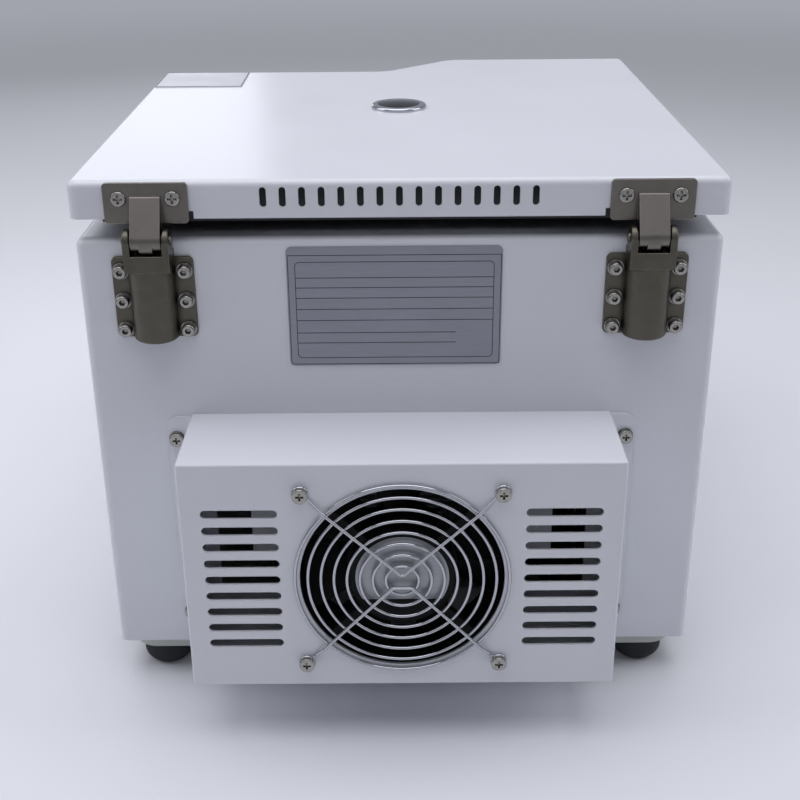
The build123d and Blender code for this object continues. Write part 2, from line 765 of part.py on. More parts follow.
def board_corners():
    """The four bosses that carry the control board."""
    across = board_size[0] / 2 - boss_inset
    along = board_size[1] / 2 - boss_inset
    return [(display_x + i * across, board_run + j * along) for i in (-1, 1) for j in (-1, 1)]


def on_slope(x, run, lift=0):
    """A plane on the control face, with X to the right and Y up the slope."""
    y = rear_y - fascia_back - run * math.cos(slope)
    z = deck_z + fascia_top - run * math.sin(slope)
    normal = Vector(0, -math.sin(slope), math.cos(slope))
    return Plane(origin=Vector(x, y, z) + normal * lift, x_dir=(1, 0, 0), z_dir=normal)


key_xs = [display_x + (k - 1) * key_pitch for k in range(3)]


def display_window():
    """Dark pane set flush in the control face."""
    pane = RectangleRounded(*display_size, key_corner)
    return extrude(on_slope(display_x, display_run) * pane, -display_thickness)


def key(x):
    """One key: a cap with a lip under the fascia and a stem above its switch."""
    cap = extrude(RectangleRounded(*key_size, key_corner - fit), fascia_wall + key_rise + fit)
    cap = fillet(cap.edges().group_by(Axis.Z)[-1], key_rise / 2)
    cap = Pos(0, 0, -fascia_wall - fit) * cap
    lip = RectangleRounded(key_size[0] + 2 * key_lip, key_size[1] + 2 * key_lip, key_corner)
    cap += Pos(0, 0, -fascia_wall - fit - key_lip) * extrude(lip, key_lip + fit / 2)
    stem_end = -board_drop + switch_height + key_travel + fit
    stem_top = -fascia_wall - fit - key_lip
    cap += Pos(0, 0, (stem_end + stem_top) / 2) * Cylinder(key_stem, stem_top - stem_end)
    return on_slope(x, key_run) * cap


def control_knob():
    """Fluted knob with its shaft, which turns in the encoder."""
    grip = Cone(knob_radius, knob_radius - knob_taper, knob_height)
    grip = fillet(grip.edges().group_by(Axis.Z)[-1], knob_edge)
    for k in range(knob_flutes):
        turn = Rot(0, 0, 360 / knob_flutes * k)
        grip -= turn * Pos(knob_radius + flute_radius / 2, 0, 0) * Cylinder(flute_radius, 2 * knob_height)
    grip = Pos(0, 0, knob_height / 2 + 2 * fit) * grip
    mark = Pos(0, knob_radius - knob_mark[1], knob_height + 2 * fit) * Box(*knob_mark)
    length = fascia_wall + encoder_size[2] - 1
    shaft = Pos(0, 0, 3 * fit - length / 2) * Cylinder(knob_shaft, length + 2 * fit)
    return on_slope(knob_x, key_run) * (grip - mark + shaft)


def knob_encoder():
    """Rotary encoder fixed under the fascia."""
    body = Pos(0, 0, -fascia_wall - encoder_size[2] / 2) * Box(*encoder_size)
    body -= Cylinder(knob_shaft + turn_play, 4 * (fascia_wall + encoder_size[2]))
    tab = Pos(0, 0, -fascia_wall - encoder_size[2] - board_thickness / 2)
    tab = tab * Box(encoder_size[0], encoder_size[1] + encoder_legs, board_thickness)
    return on_slope(knob_x, key_run) * (body + tab)


def control_board():
    """Board under the control face with the display module and the key switches."""
    board = Pos(0, 0, -board_drop - board_thickness / 2) * Box(*board_size, board_thickness)
    shape = on_slope(display_x, board_run) * board
    gap = board_drop - fascia_wall - fit
    module = Pos(0, 0, -board_drop + gap / 2) * Box(*display_module, gap)
    shape += on_slope(display_x, display_run) * module
    for x in key_xs:
        switch = Pos(0, 0, -board_drop + switch_height / 2) * Box(switch_side, switch_side, switch_height)
        shape += on_slope(x, key_run) * switch
    for x, run in board_corners():
        shape -= on_slope(x, run) * Pos(0, 0, -board_drop) * Cylinder(m3_flat[2] + screw_fit, through)
    return shape


def power_board_corners():
    across = power_board[0] / 2 - boss_inset
    along = power_board[1] / 2 - boss_inset
    middle = rear_y - power_board_depth
    return [(power_board_x + i * across, middle + j * along) for i in (-1, 1) for j in (-1, 1)]


def power_board_part():
    """Motor drive board with its heat sink, capacitors, transformer and coil."""
    middle = rear_y - power_board_depth
    low = pan_top + standoff_height
    top = low + board_thickness
    shape = block(about(power_board_x, power_board[0]), about(middle, power_board[1]), (low, top))
    length, height = heat_sink
    width = power_board[0] - heat_sink_free
    first = power_board_x - power_board[0] / 2 + heat_sink_inset
    ys = about(middle - heat_sink_offset, length)
    shape += block((first, first + width), ys, (top, top + heat_base))
    for k in range(heat_fins):
        x = first + k * (width - heat_fin) / (heat_fins - 1)
        shape += block((x, x + heat_fin), ys, (top, top + height))
    radius, tall = capacitor
    for y in capacitor_ys:
        can = rod_z(radius, (top, top + tall), power_board_x + power_board[0] / 4, middle + y)
        shape += fillet(can.edges().group_by(Axis.Z)[-1], capacitor_edge)
    for (across, along, tall), shift in ((transformer, -transformer[0] / 3), (coil, power_board[0] / 3)):
        shape += block(about(power_board_x + shift, across), about(middle + coil_offset, along),
                       (top, top + tall))
    for x, y in power_board_corners():
        shape -= rod_z(m3_flat[2] + screw_fit, (low - 1, top + 1), x, y)
    return shape


def board_standoffs():
    return [rod_z(standoff_radius, (pan_top, pan_top + standoff_height), x, y)
            - rod_z(m3_flat[2] + screw_fit, (pan_top + standoff_floor, pan_top + standoff_height + 1), x, y)
            for x, y in power_board_corners()]


def board_screws():
    """Screws of both boards."""
    under = [on_slope(x, run, -board_drop - board_thickness) for x, run in board_corners()]
    down = [Plane(origin=p.origin, x_dir=p.x_dir, z_dir=-p.z_dir) for p in under]
    up = [Plane(origin=(x, y, pan_top + standoff_height + board_thickness))
          for x, y in power_board_corners()]
    return [screw(p, m3_pan, board_thickness + nut_grip, socket=False) for p in down + up]


# ---------------------------------------------------------------- inlet and switch
def on_side(y, z):
    """A plane on the outside of the control-side wall, with X forward and Y up."""
    return Plane(origin=(half_width, y, z), x_dir=(0, 1, 0), z_dir=(1, 0, 0))


def inlet_socket():
    """Three-pole appliance inlet: flange, body and the recess that takes the plug."""
    flange = extrude(RectangleRounded(*inlet_flange, inlet_corner), lip)
    flange = chamfer(flange.edges().group_by(Axis.Z)[-1], lip_edge)
    body = Pos(0, 0, -inlet_body[2] / 2) * Box(inlet_body[0] - 2 * fit, inlet_body[1] - 2 * fit,
                                               inlet_body[2])
    recess_face = Polygon(*inlet_points(), align=None)
    floor = lip - inlet_cavity[2]
    cavity = Pos(0, 0, floor) * extrude(recess_face, inlet_cavity[2] + 1)
    socket = flange + body - cavity
    for x, y in pin_places:
        pin = Pos(x, y, floor + (pin_reach - pin_root) / 2) * Box(*pin_section, pin_reach + pin_root)
        socket += chamfer(pin.edges().group_by(Axis.Z)[-1], lip_edge)
    return on_side(rear_y - inlet_depth, socket_z) * socket


def inlet_points():
    """Outline of the plug's recess, with its two cut corners."""
    x, y = inlet_cavity[0] / 2, inlet_cavity[1] / 2
    return [(-x, -y), (x, -y), (x, y - inlet_cut), (x - inlet_cut, y), (-x + inlet_cut, y),
            (-x, y - inlet_cut)]


def switch_bezel():
    """Frame and body of the power switch."""
    bezel = extrude(RectangleRounded(*switch_bezel_size, switch_corner), lip)
    bezel = chamfer(bezel.edges().group_by(Axis.Z)[-1], lip_edge)
    body = Pos(0, 0, -switch_body[2] / 2) * Box(switch_body[0] - 2 * fit, switch_body[1] - 2 * fit,
                                                switch_body[2])
    cavity = Box(rocker_width + 2 * fit, rocker_length + 2 * rocker_play, 2 * switch_cavity)
    pivot = Rot(0, 90, 0) * Cylinder(pivot_radius + turn_play, pivot_length + 2 * fit)
    shape = bezel + body - cavity - pivot
    return on_side(rear_y - switch_depth, socket_z) * shape


def power_rocker():
    """Rocker with a shallow V face, resting with its lower half pressed in."""
    half = rocker_length / 2
    toe, depth = rocker_foot
    points = [(-half, rocker_rise), (0, rocker_valley), (half, rocker_rise),
              (half - rocker_taper, -rocker_side), (toe, -depth), (-toe, -depth),
              (-half + rocker_taper, -rocker_side)]
    face = Plane(origin=(0, 0, 0), x_dir=(0, 1, 0), z_dir=(1, 0, 0)) * Polygon(*points, align=None)
    rocker = extrude(face, rocker_width / 2, both=True)
    rocker += Rot(0, 90, 0) * Cylinder(pivot_radius, pivot_length)
    rocker = Rot(rocker_tilt, 0, 0) * rocker
    return on_side(rear_y - switch_depth, socket_z) * rocker


# ---------------------------------------------------------------- bowl and motor
def chamber_bowl():
    """Spun stainless bowl with a flat floor and a rim that lies on the deck."""
    inner, outer = bowl_radius, bowl_radius + bowl_sheet
    top = deck_z + bowl_sheet
    body = rod_z(outer, (bowl_floor_z - bowl_sheet, top), 0, axis_y)
    body = fillet(body.edges().group_by(Axis.Z)[0], bowl_corner + bowl_sheet)
    body += rod_z(bowl_radius + bowl_rim, (deck_z, top), 0, axis_y)
    room = rod_z(inner, (bowl_floor_z, top + bowl_depth), 0, axis_y)
    room = fillet(room.edges().group_by(Axis.Z)[0], bowl_corner)
    return body - room - rod_z(bowl_drain, about(bowl_floor_z, through), 0, axis_y)


def bowl_gasket():
    """Rubber sleeve between the motor's flange and the bowl's floor."""
    low, high = motor_top_z, bowl_floor_z - bowl_sheet
    depth, margin = sleeve_groove
    sleeve = ring_z(sleeve_radius, motor_neck_radius + fit, (low, high), 0, axis_y)
    groove = ring_z(sleeve_radius + 1, sleeve_radius - depth, (low + margin, high - margin), 0, axis_y)
    return sleeve - groove


def armour_ring():
    """Heavy steel ring round the bowl, with four ears for its studs."""
    ring = ring_z(armour_outer, armour_inner, ring_span, 0, axis_y)
    span = ear_span()
    for k, (x, y) in enumerate(stud_places()):
        arm = block((armour_outer - ring_wall / 2, armour_outer + stud_offset), about(0, 2 * stud_offset),
                    span)
        ring += rod_z(stud_offset, span, x, y) + Pos(0, axis_y, 0) * Rot(0, 0, 45 + 90 * k) * arm
        ring -= rod_z(stud_radius + screw_fit, (0, deck_z), x, y)
    return ring


def ear_span():
    drop, thick = stud_ear
    return about(ring_span[1] - drop, thick)


def ring_studs():
    """Studs from the deck to the armour ring, each with a nut under the ear."""
    studs = []
    low, high = ear_span()
    radius, height = stud_nut
    for x, y in stud_places():
        stud = rod_z(stud_radius, (low - stud_tail, deck_z - sheet), x, y)
        nut = Pos(x, y, low - height) * extrude(RegularPolygon(radius, 6), height)
        collar = ring_z(radius, stud_radius - 1, (high, deck_z - sheet), x, y)
        studs.append(stud + nut + collar)
    return studs


def damper_places():
    half = damper_spacing / 2
    return [(i * half, axis_y + j * half) for i in (-1, 1) for j in (-1, 1)]


def motor_pillars():
    """Four steel pillars from the base pan up to the rubber dampers."""
    top = motor_plate_z - damper_height
    radius, thick = pillar_foot
    return [rod_z(pillar_radius, (pan_top, top), x, y)
            + rod_z(radius, (pan_top, pan_top + thick), x, y) for x, y in damper_places()]


def motor_dampers():
    """Waisted rubber mounts between the pillars and the motor's plate."""
    low = motor_plate_z - damper_height
    dampers = []
    for x, y in damper_places():
        barrel = rod_z(damper_radius, (low, motor_plate_z), x, y)
        groove = Pos(x, y, low + damper_height / 2) * Torus(*damper_waist)
        dampers.append(barrel - groove)
    return dampers


def motor_plate():
    """Steel plate that carries the motor on its dampers."""
    side, thick = motor_plate_size
    plate = extrude(Pos(0, axis_y, motor_plate_z) * RectangleRounded(side, side, motor_plate_corner), thick)
    return plate - rod_z(motor_radius + fit, (0, deck_z), 0, axis_y)


def motor_body():
    """Induction motor: finned barrel, mounting flange and the neck round its shaft."""
    low, high = motor_bottom, motor_top_z
    height, thick = motor_fin
    barrel = rod_z(motor_radius - height, (low, high), 0, axis_y)
    barrel = fillet(barrel.edges().group_by(Axis.Z)[0], motor_edge)
    fin_zs = (low + fin_margin[0], motor_plate_z - fin_margin[1])
    for k in range(motor_fins):
        fin = block((motor_radius - 2 * height, motor_radius), about(0, thick), fin_zs)
        barrel += Pos(0, axis_y, 0) * Rot(0, 0, 360 / motor_fins * k) * fin
    barrel += rod_z(motor_flange[0], (high - motor_flange[1], high), 0, axis_y)
    barrel += rod_z(motor_neck_radius, (high, neck_top), 0, axis_y)
    barrel -= rod_z(shaft_radius + shaft_room, (low + motor_cap, neck_top + 1), 0, axis_y)
    margin = armature_margin - air_gap
    barrel -= rod_z(armature_radius + air_gap, (low + margin, high - margin), 0, axis_y)
    for z in bearing_places():
        barrel -= rod_z(bearing_size[0], about(z, bearing_size[1] + 2 * turn_play), 0, axis_y)
    return barrel


def bearing_places():
    return (motor_bottom + bearing_offsets[0], motor_top_z - bearing_offsets[1])


def motor_bearings():
    """Upper and lower ball bearings, as closed rings."""
    outer, width = bearing_size
    return [ring_z(outer - press_play, shaft_radius + press_play, about(z, width), 0, axis_y)
            for z in bearing_places()]


def motor_shaft():
    """Shaft with the narrower seat and thread that take the rotor."""
    shaft = rod_z(shaft_radius, (motor_bottom + shaft_setback, yoke_z), 0, axis_y)
    shaft += rod_z(spigot_radius, (yoke_z - 1, hub_top + nut_height - spigot_setback), 0, axis_y)
    armature = (motor_bottom + armature_margin, motor_top_z - armature_margin)
    return shaft + rod_z(armature_radius, armature, 0, axis_y)


# ---------------------------------------------------------------- rotor
def rotor_yoke():
    """Cross bar with a hub and two cheeks that carry the carriers' trunnions."""
    bar = block((-cheek_outer, cheek_outer), about(axis_y, yoke_bar[0]), (yoke_z, yoke_z + yoke_bar[1]))
    yoke = bar + rod_z(yoke_hub_radius, (yoke_z, hub_top), 0, axis_y)
    for side in (-1, 1):
        yoke += Pos(side * (cheek_inner + cheek_outer) / 2, 0, 0) * yoke_side()
    yoke -= rod_z(spigot_radius + press_play, (yoke_z - 1, hub_top + 1), 0, axis_y)
    for x in (-cheek_outer / 2, cheek_outer / 2):
        yoke -= rod_z(yoke_bar[0] / 4, (yoke_z - 1, yoke_z + yoke_bar[1] + 1), x, axis_y)
    for y in trunnion_ys():
        yoke -= rod_x(trunnion_radius, (-cheek_outer - 1, cheek_outer + 1), y, trunnion_z)
    return yoke


def trunnion_ys():
    return (axis_y - trunnion_r, axis_y + trunnion_r)


def yoke_side():
    """One V-shaped cheek, from the bar's end up to its two trunnions."""
    foot = yoke_bar[0] / 2
    reach = trunnion_r + trunnion_boss
    low, high = yoke_z, trunnion_z + trunnion_boss
    elbow = trunnion_z - yoke_arm
    throat = trunnion_z - yoke_throat
    neck = trunnion_r - trunnion_boss
    half = [(foot, low), (reach, elbow), (reach, high), (neck, high), (neck - yoke_arm, throat)]
    points = half + [(-y, z) for y, z in reversed(half)]
    face = make_face(Polyline(*[(0, axis_y + y, z) for y, z in points], close=True))
    face = fillet([v for v in face.vertices() if v.Z > low + 1], yoke_corner)
    return extrude(face, yoke_cheek / 2, both=True)


def rotor_nut():
    """Hexagon nut with a flange that clamps the yoke to the shaft."""
    nut = Pos(0, axis_y, hub_top) * extrude(RegularPolygon(nut_radius, 6), nut_height)
    radius, thick = nut_flange
    nut += ring_z(radius, spigot_radius - 1, (hub_top, hub_top + thick), 0, axis_y)
    return nut - rod_z(spigot_radius, (hub_top - 1, hub_top + nut_height + 1), 0, axis_y)


def trunnion_pins():
    """Four pins fixed in the cheeks."""
    pins = []
    for y in trunnion_ys():
        for side in (-1, 1):
            ends = sorted((side * (carrier_size[0] / 2 + pin_clear), side * cheek_outer))
            pins.append(rod_x(trunnion_radius, ends, y, trunnion_z))
    return pins


def plate_carrier(side):
    """Tray for one microplate, with a boss at each end that hangs on the pins."""
    y = axis_y + side * trunnion_r
    top, bottom = carrier_top, carrier_top - carrier_depth
    tray = extrude(Pos(0, y, bottom) * RectangleRounded(*carrier_size, carrier_corner), carrier_depth)
    pocket = [length + 2 * plate_play for length in plate_size]
    pocket_face = RectangleRounded(*pocket, pocket_corner)
    tray -= extrude(Pos(0, y, bottom + carrier_wall) * pocket_face, carrier_depth)
    opening = [length - 2 * carrier_ledge for length in pocket]
    tray -= extrude(Pos(0, y, bottom - 1) * RectangleRounded(*opening, opening_corner), carrier_depth)
    floor = (bottom, bottom + carrier_wall)
    tray += block(about(0, opening[0] + 2), about(y, carrier_rib), floor)
    tray += block(about(0, carrier_rib), about(y, opening[1] + 2), floor)
    for end in (-1, 1):
        ends = sorted((end * (carrier_size[0] / 2 - carrier_wall / 2), end * boss_face))
        tray += rod_x(trunnion_boss, ends, y, trunnion_z)
        hole = sorted((end * (carrier_size[0] / 2 + pin_floor), end * (boss_face + 1)))
        tray -= rod_x(trunnion_radius + turn_play, hole, y, trunnion_z)
    width, depth = finger_notch
    return tray - block(about(0, width), about(y, carrier_size[1] + through), (top - depth, top + 1))


# ---------------------------------------------------------------- lid lock
def lock_frame():
    """Plate under the deck with the wall that guides the bolt and the wall that catches it."""
    length, width, thick = lock_plate
    x0 = lock_x - striker_size[0] / 2 - 2 * lock_wall - catch_gap
    under = deck_z - sheet
    top = block((x0, x0 + length), about(lock_y, width), (under - thick, under))
    slot = [side + 2 * striker_play for side in striker_size[:2]]
    top -= block(about(lock_x, slot[0]), about(lock_y, slot[1]), about(under, through))
    low = bolt_z - lock_wall_drop
    for x in (x0 + lock_wall, bolt_tip + bolt_setback):
        top += block((x, x + lock_wall), about(lock_y, striker_size[1] + 2 * lock_wall), (low, under))
    reach = (x0 - 1, x0 + length + 1)
    return top - rod_x(bolt_radius + screw_fit, reach, lock_y, bolt_z)


def solenoid_span():
    start = bolt_tip + bolt_setback + lock_wall + solenoid_gap
    return (start, start + solenoid_size[0])


def lock_solenoid():
    """Coil housing that pulls the bolt."""
    span = solenoid_span()
    body = block(span, about(lock_y, solenoid_size[1]), about(bolt_z, solenoid_size[2]))
    body = fillet(body.edges().filter_by(Axis.X), solenoid_edge)
    bore = (span[0] - 1, span[1] - bolt_core + bolt_room)
    return body - rod_x(bolt_radius + screw_fit, bore, lock_y, bolt_z)


def latch_bolt():
    """Round bolt with a bevelled nose, drawn back while the lid is free."""
    bolt = rod_x(bolt_radius, (bolt_tip, solenoid_span()[1] - bolt_core), lock_y, bolt_z)
    return chamfer(bolt.edges().group_by(Axis.X)[0], bolt_bevel)


def lid_striker():
    """Steel plate with a window for the bolt, on a foot under the liner."""
    thick, width, drop = striker_size
    plate = block(about(lock_x, thick), about(lock_y, width), (liner_z - drop, liner_z))
    plate -= block(about(lock_x, thick + 2), about(lock_y, striker_window[0]),
                   about(bolt_z, striker_window[1]))
    length, sole = striker_foot
    foot = block(about(lock_x, length), about(lock_y, width), (liner_z - sole, liner_z))
    for x in striker_screw_xs():
        foot -= rod_z(m3_flat[2] + screw_fit, about(liner_z, through), x, lock_y)
    return plate + foot


def striker_screw_xs():
    return about(lock_x, striker_screw_pitch)


# ---------------------------------------------------------------- lid
def lid_shell():
    """Folded steel lid with a rounded top edge, vents in its rear skirt and the port hole."""
    outer = extrude(Pos(0, 0, skirt_z) * lid_outline(0), skirt_height)
    outer = fillet(outer.edges().group_by(Axis.Z)[-1], lid_edge_radius)
    inner = extrude(Pos(0, 0, skirt_z - 1) * lid_outline(-sheet), skirt_height - sheet + 1)
    inner = fillet(inner.edges().group_by(Axis.Z)[-1], lid_edge_radius - sheet)
    shell = outer - inner - rod_z(port_hole, (skirt_z, lid_top + 1), 0, axis_y)
    for k in range(vent_count):
        x = (k - (vent_count - 1) / 2) * vent_pitch
        mouth = Plane(origin=(x, lid_rear + 1, skirt_z + vent_rise), x_dir=(0, 0, 1), z_dir=(0, -1, 0))
        shell -= extrude(mouth * SlotOverall(vent_height, vent_width), sheet + 2)
    for x in leaf_screw_xs():
        shell -= rod_y(m3_flat[2] + screw_fit, about(lid_rear, through), x, leaf_screw_z())
    inner_edge = (hinge_spacing - leaf_width) / 2 - notch_reach
    for side in (-1, 1):
        xs = sorted((side * inner_edge, side * (inner_edge + notch_size[0])))
        shell -= block(xs, about(lid_rear, 2 * sheet + 1), (skirt_z - 1, skirt_z + notch_size[1]))
    return shell


def lid_liner():
    """Moulded inner tray of the lid, with the tube of the viewing port."""
    inset = sheet + liner_inset
    top = lid_top - sheet - fit
    tray = extrude(Pos(0, 0, liner_z) * lid_outline(-inset), top - liner_z)
    tray -= extrude(Pos(0, 0, liner_z + liner_wall) * lid_outline(-inset - liner_wall), top)
    tray += rod_z(port_hole + liner_wall, (liner_z, top), 0, axis_y)
    tray -= rod_z(port_hole, (liner_z - 1, top + 1), 0, axis_y)
    for x, y in liner_screw_places():
        tray += rod_z(liner_post, (liner_z, top), x, y)
        mouth = Plane(origin=(x, y, liner_z), z_dir=(0, 0, -1))
        tray -= mouth * countersink(liner_screw_length + liner_screw_room)
    for x in striker_screw_xs():
        tray -= rod_z(m3_flat[2] + screw_fit, about(liner_z, through), x, lock_y)
    return tray


def liner_screw_places():
    """Screws that hold the liner in the lid, outside the gasket."""
    x = lid_width / 2 - liner_screw_inset
    front_short = lid_rear - lid_depth_short + liner_screw_inset
    front_long = lid_rear - lid_depth_long + liner_screw_inset
    rear = lid_rear - liner_screw_inset
    return [(-x, rear), (x, rear), (x, front_short), (-x, front_long), (-x, axis_y), (x, axis_y)]


def liner_screws():
    """Countersunk screws of the liner and the striker."""
    down = [Plane(origin=(x, y, liner_z), z_dir=(0, 0, -1)) for x, y in liner_screw_places()]
    sole = liner_z - striker_foot[1]
    foot = [Plane(origin=(x, lock_y, sole), z_dir=(0, 0, -1)) for x in striker_screw_xs()]
    return ([flat_screw(plane, liner_screw_length) for plane in down]
            + [screw(plane, m3_pan, liner_wall + nut_grip, socket=False) for plane in foot])


def lid_gasket():
    """Rubber ring under the liner that closes on the bowl's rim."""
    low = deck_z + bowl_sheet + fit
    outer, inner = bowl_radius + gasket_width - gasket_inset, bowl_radius + gasket_inset
    ring = ring_z(outer, inner, (low, liner_z), 0, axis_y)
    return fillet(ring.edges().group_by(Axis.Z)[0], gasket_lip)


def port_bezel():
    """Turned ring of the viewing port, with a neck through the lid."""
    ring = rod_z(port_radius, (lid_top, lid_top + port_rise), 0, axis_y)
    ring = fillet(ring.edges().group_by(Axis.Z)[-1], port_edge)
    neck = rod_z(port_hole - port_fit, (lid_top - port_neck, lid_top), 0, axis_y)
    hole = rod_z(lens_radius - lens_seat, (0, 2 * lid_top), 0, axis_y)
    seat = rod_z(lens_radius + screw_fit, (lid_top + lens_seat, 2 * lid_top), 0, axis_y)
    return ring + neck - hole - seat


def port_lens():
    """Domed window held in the bezel."""
    base = lid_top + lens_seat
    height = port_rise - lens_seat + lens_rise
    sphere_radius = (lens_radius ** 2 + lens_rise ** 2) / (2 * lens_rise)
    lens = rod_z(lens_radius, (base, base + height), 0, axis_y)
    return lens & (Pos(0, axis_y, base + height - sphere_radius) * Sphere(sphere_radius))


def lid_plate():
    """Thin bare plate near the lid's front edge."""
    width, length = lid_plate_size
    x = lid_width / 2 - lid_plate_margin - width / 2
    y = lid_rear - lid_depth_short + lid_plate_margin + length / 2 + lid_edge_radius / 2
    return extrude(Pos(x, y, lid_top) * RectangleRounded(width, length, lid_plate_corner), plate_thickness)


# ---------------------------------------------------------------- hinges
def leaf_screw_xs():
    return [x + side * leaf_screw_offset for x in hinge_xs for side in (-1, 1)]


def leaf_screw_z():
    return skirt_z - leaf_drop + leaf_screw_rise * leaf_height


def bracket_screw_places():
    first = flange_top_z - bracket_screw_first
    return [(x + side * bracket_screw_offset, first - k * bracket_screw_pitch)
            for x in hinge_xs for side in (-1, 1) for k in range(3)]


def hinge_leaf(x0):
    """Lid half of a hinge: leaf, arm, knuckle and the lobe that works the plunger."""
    low = skirt_z - leaf_drop
    leaf = extrude(upright((leaf_width, leaf_height), leaf_corner, x0, lid_rear + leaf_thickness,
                           low + leaf_height / 2), leaf_thickness)
    tip_radius, tip_rise = arm_tip
    tip = (lid_rear + leaf_thickness + tip_rise, pin_z + arm_top - tip_radius)
    span = about(x0, arm_width)
    arm = tangent_arm(tip, tip_radius, (pin_y, pin_z), knuckle_radius, span)
    half = cam_width / 2
    lobe_y, lobe_z = plunger_y, pin_z - cam_offset * math.sin(cam_phase)
    lobe = rod_x(cam_radius, (x0 - half, x0 + half), lobe_y, lobe_z)
    shape = leaf + arm + lobe
    shape -= rod_x(pin_radius + turn_play, about(x0, pin_length + through), pin_y, pin_z)
    for x in (x0 - leaf_screw_offset, x0 + leaf_screw_offset):
        shape -= facing_rear(x, lid_rear + leaf_thickness, leaf_screw_z()) * countersink(through)
    return shape


def tangent_arm(tip, tip_radius, root, root_radius, span):
    """A bar whose side view is the hull of two circles."""
    dy, dz = tip[0] - root[0], tip[1] - root[1]
    length = math.hypot(dy, dz)
    along = math.atan2(dz, dy)
    spread = math.acos((root_radius - tip_radius) / length)
    corners = []
    for side in (1, -1):
        angle = along + side * spread
        foot = (root[0] + root_radius * math.cos(angle), root[1] + root_radius * math.sin(angle))
        head = (tip[0] + tip_radius * math.cos(angle), tip[1] + tip_radius * math.sin(angle))
        corners += [foot, head] if side > 0 else [head, foot]
    face = make_face(Polyline(*[(span[0], y, z) for y, z in corners], close=True))
    web = extrude(face, span[1] - span[0], dir=(1, 0, 0))
    return web + rod_x(root_radius, span, *root) + rod_x(tip_radius, span, *tip)


def hinge_bracket(x0):
    """Cabinet half of a hinge: flange, spring housing, block and the two ears."""
    flange = extrude(upright(flange_size, bracket_corner, x0, rear_y + leaf_thickness,
                             (flange_top_z + flange_bottom_z) / 2), leaf_thickness)
    flange = fillet(flange.edges().group_by(Axis.Y)[-1], flange_edge)
    block_top = pin_z - knuckle_radius - block_clear
    block_low = flange_top_z - block_drop
    housing = rod_z(housing_radius, (flange_bottom_z + housing_lift, block_low + 1), x0,
                    pin_y + knuckle_radius - housing_radius)
    housing = fillet(housing.edges().group_by(Axis.Z)[0], housing_edge)
    block_half = ear_outer()
    head = block((x0 - block_half, x0 + block_half), (rear_y + 1, pin_y + knuckle_radius),
                 (block_low, block_top))
    head = fillet(head.edges().filter_by(Axis.X).group_by(Axis.Y)[-1], block_edge)
    shape = flange + housing + head
    for side in (-1, 1):
        inner, outer = sorted((x0 + side * (ear_outer() - ear_thickness), x0 + side * ear_outer()))
        ear = rod_x(knuckle_radius + screw_fit, (inner, outer), pin_y, pin_z)
        ear = fillet(ear.edges().filter_by(GeomType.CIRCLE), ear_edge)
        ear += block((inner, outer), about(pin_y, 2 * knuckle_radius), (block_top - 1, pin_z))
        shape += ear - rod_x(pin_radius, (inner - 1, outer + 1), pin_y, pin_z)
    shape -= rod_z(plunger_bore, (spring_base, block_top + 5), x0, plunger_y)
    shape -= block(about(x0, 2 * flange_size[0]), (rear_y - 2 * housing_radius, rear_y), (0, lid_top))
    for x, z in bracket_screw_places():
        if abs(x - x0) < flange_size[0]:
            shape -= rod_y(m4_socket[2] + screw_fit, (rear_y - 1, rear_y + 5), x, z)
    return shape


def ear_outer():
    return arm_width / 2 + ear_gap + ear_thickness


def hinge_pin(x0):
    pin = rod_x(pin_radius, about(x0, pin_length), pin_y, pin_z)
    return chamfer(pin.edges().filter_by(GeomType.CIRCLE), pin_edge)


def hinge_plunger(x0):
    """Flat-topped plunger that the lobe presses down while the lid is shut."""
    body = rod_z(plunger_bore - plunger_play, (plunger_top - plunger_length, plunger_top), x0, plunger_y)
    bore = (plunger_top - plunger_length - 1, plunger_top - plunger_head)
    return body - rod_z(plunger_bore - plunger_wall, bore, x0, plunger_y)


def hinge_spring(x0):
    """Compression spring from the housing's floor up into the plunger."""
    radius = plunger_bore - plunger_wall - fit - spring_wire / 2
    low = spring_base + spring_wire / 2
    height = plunger_top - plunger_head - spring_wire / 2 - low
    path = Helix(pitch=height / spring_coils, height=height, radius=radius)
    section = Plane(origin=path @ 0, z_dir=path % 0) * Circle(spring_wire / 2)
    return Pos(x0, plunger_y, low) * sweep(section, path=path, is_frenet=True)


def leaf_screws():
    z = leaf_screw_z()
    length = leaf_thickness + sheet + nut_grip
    return [flat_screw(facing_rear(x, lid_rear + leaf_thickness, z), length, head_rise)
            for x in leaf_screw_xs()]


def bracket_screws():
    """Socket screws with washers, through the flange and the rear wall."""
    y = rear_y + leaf_thickness
    return [screw(facing_rear(x, y, z), m4_socket, bracket_screw_length, with_washer=True)
            for x, z in bracket_screw_places()]


# ---------------------------------------------------------------- fan box
def box_screw_places():
    width, height = box_flange_screws
    return [(i * width / 2, box_flange_z + j * height / 2) for i in (-1, 1) for j in (-1, 1)]


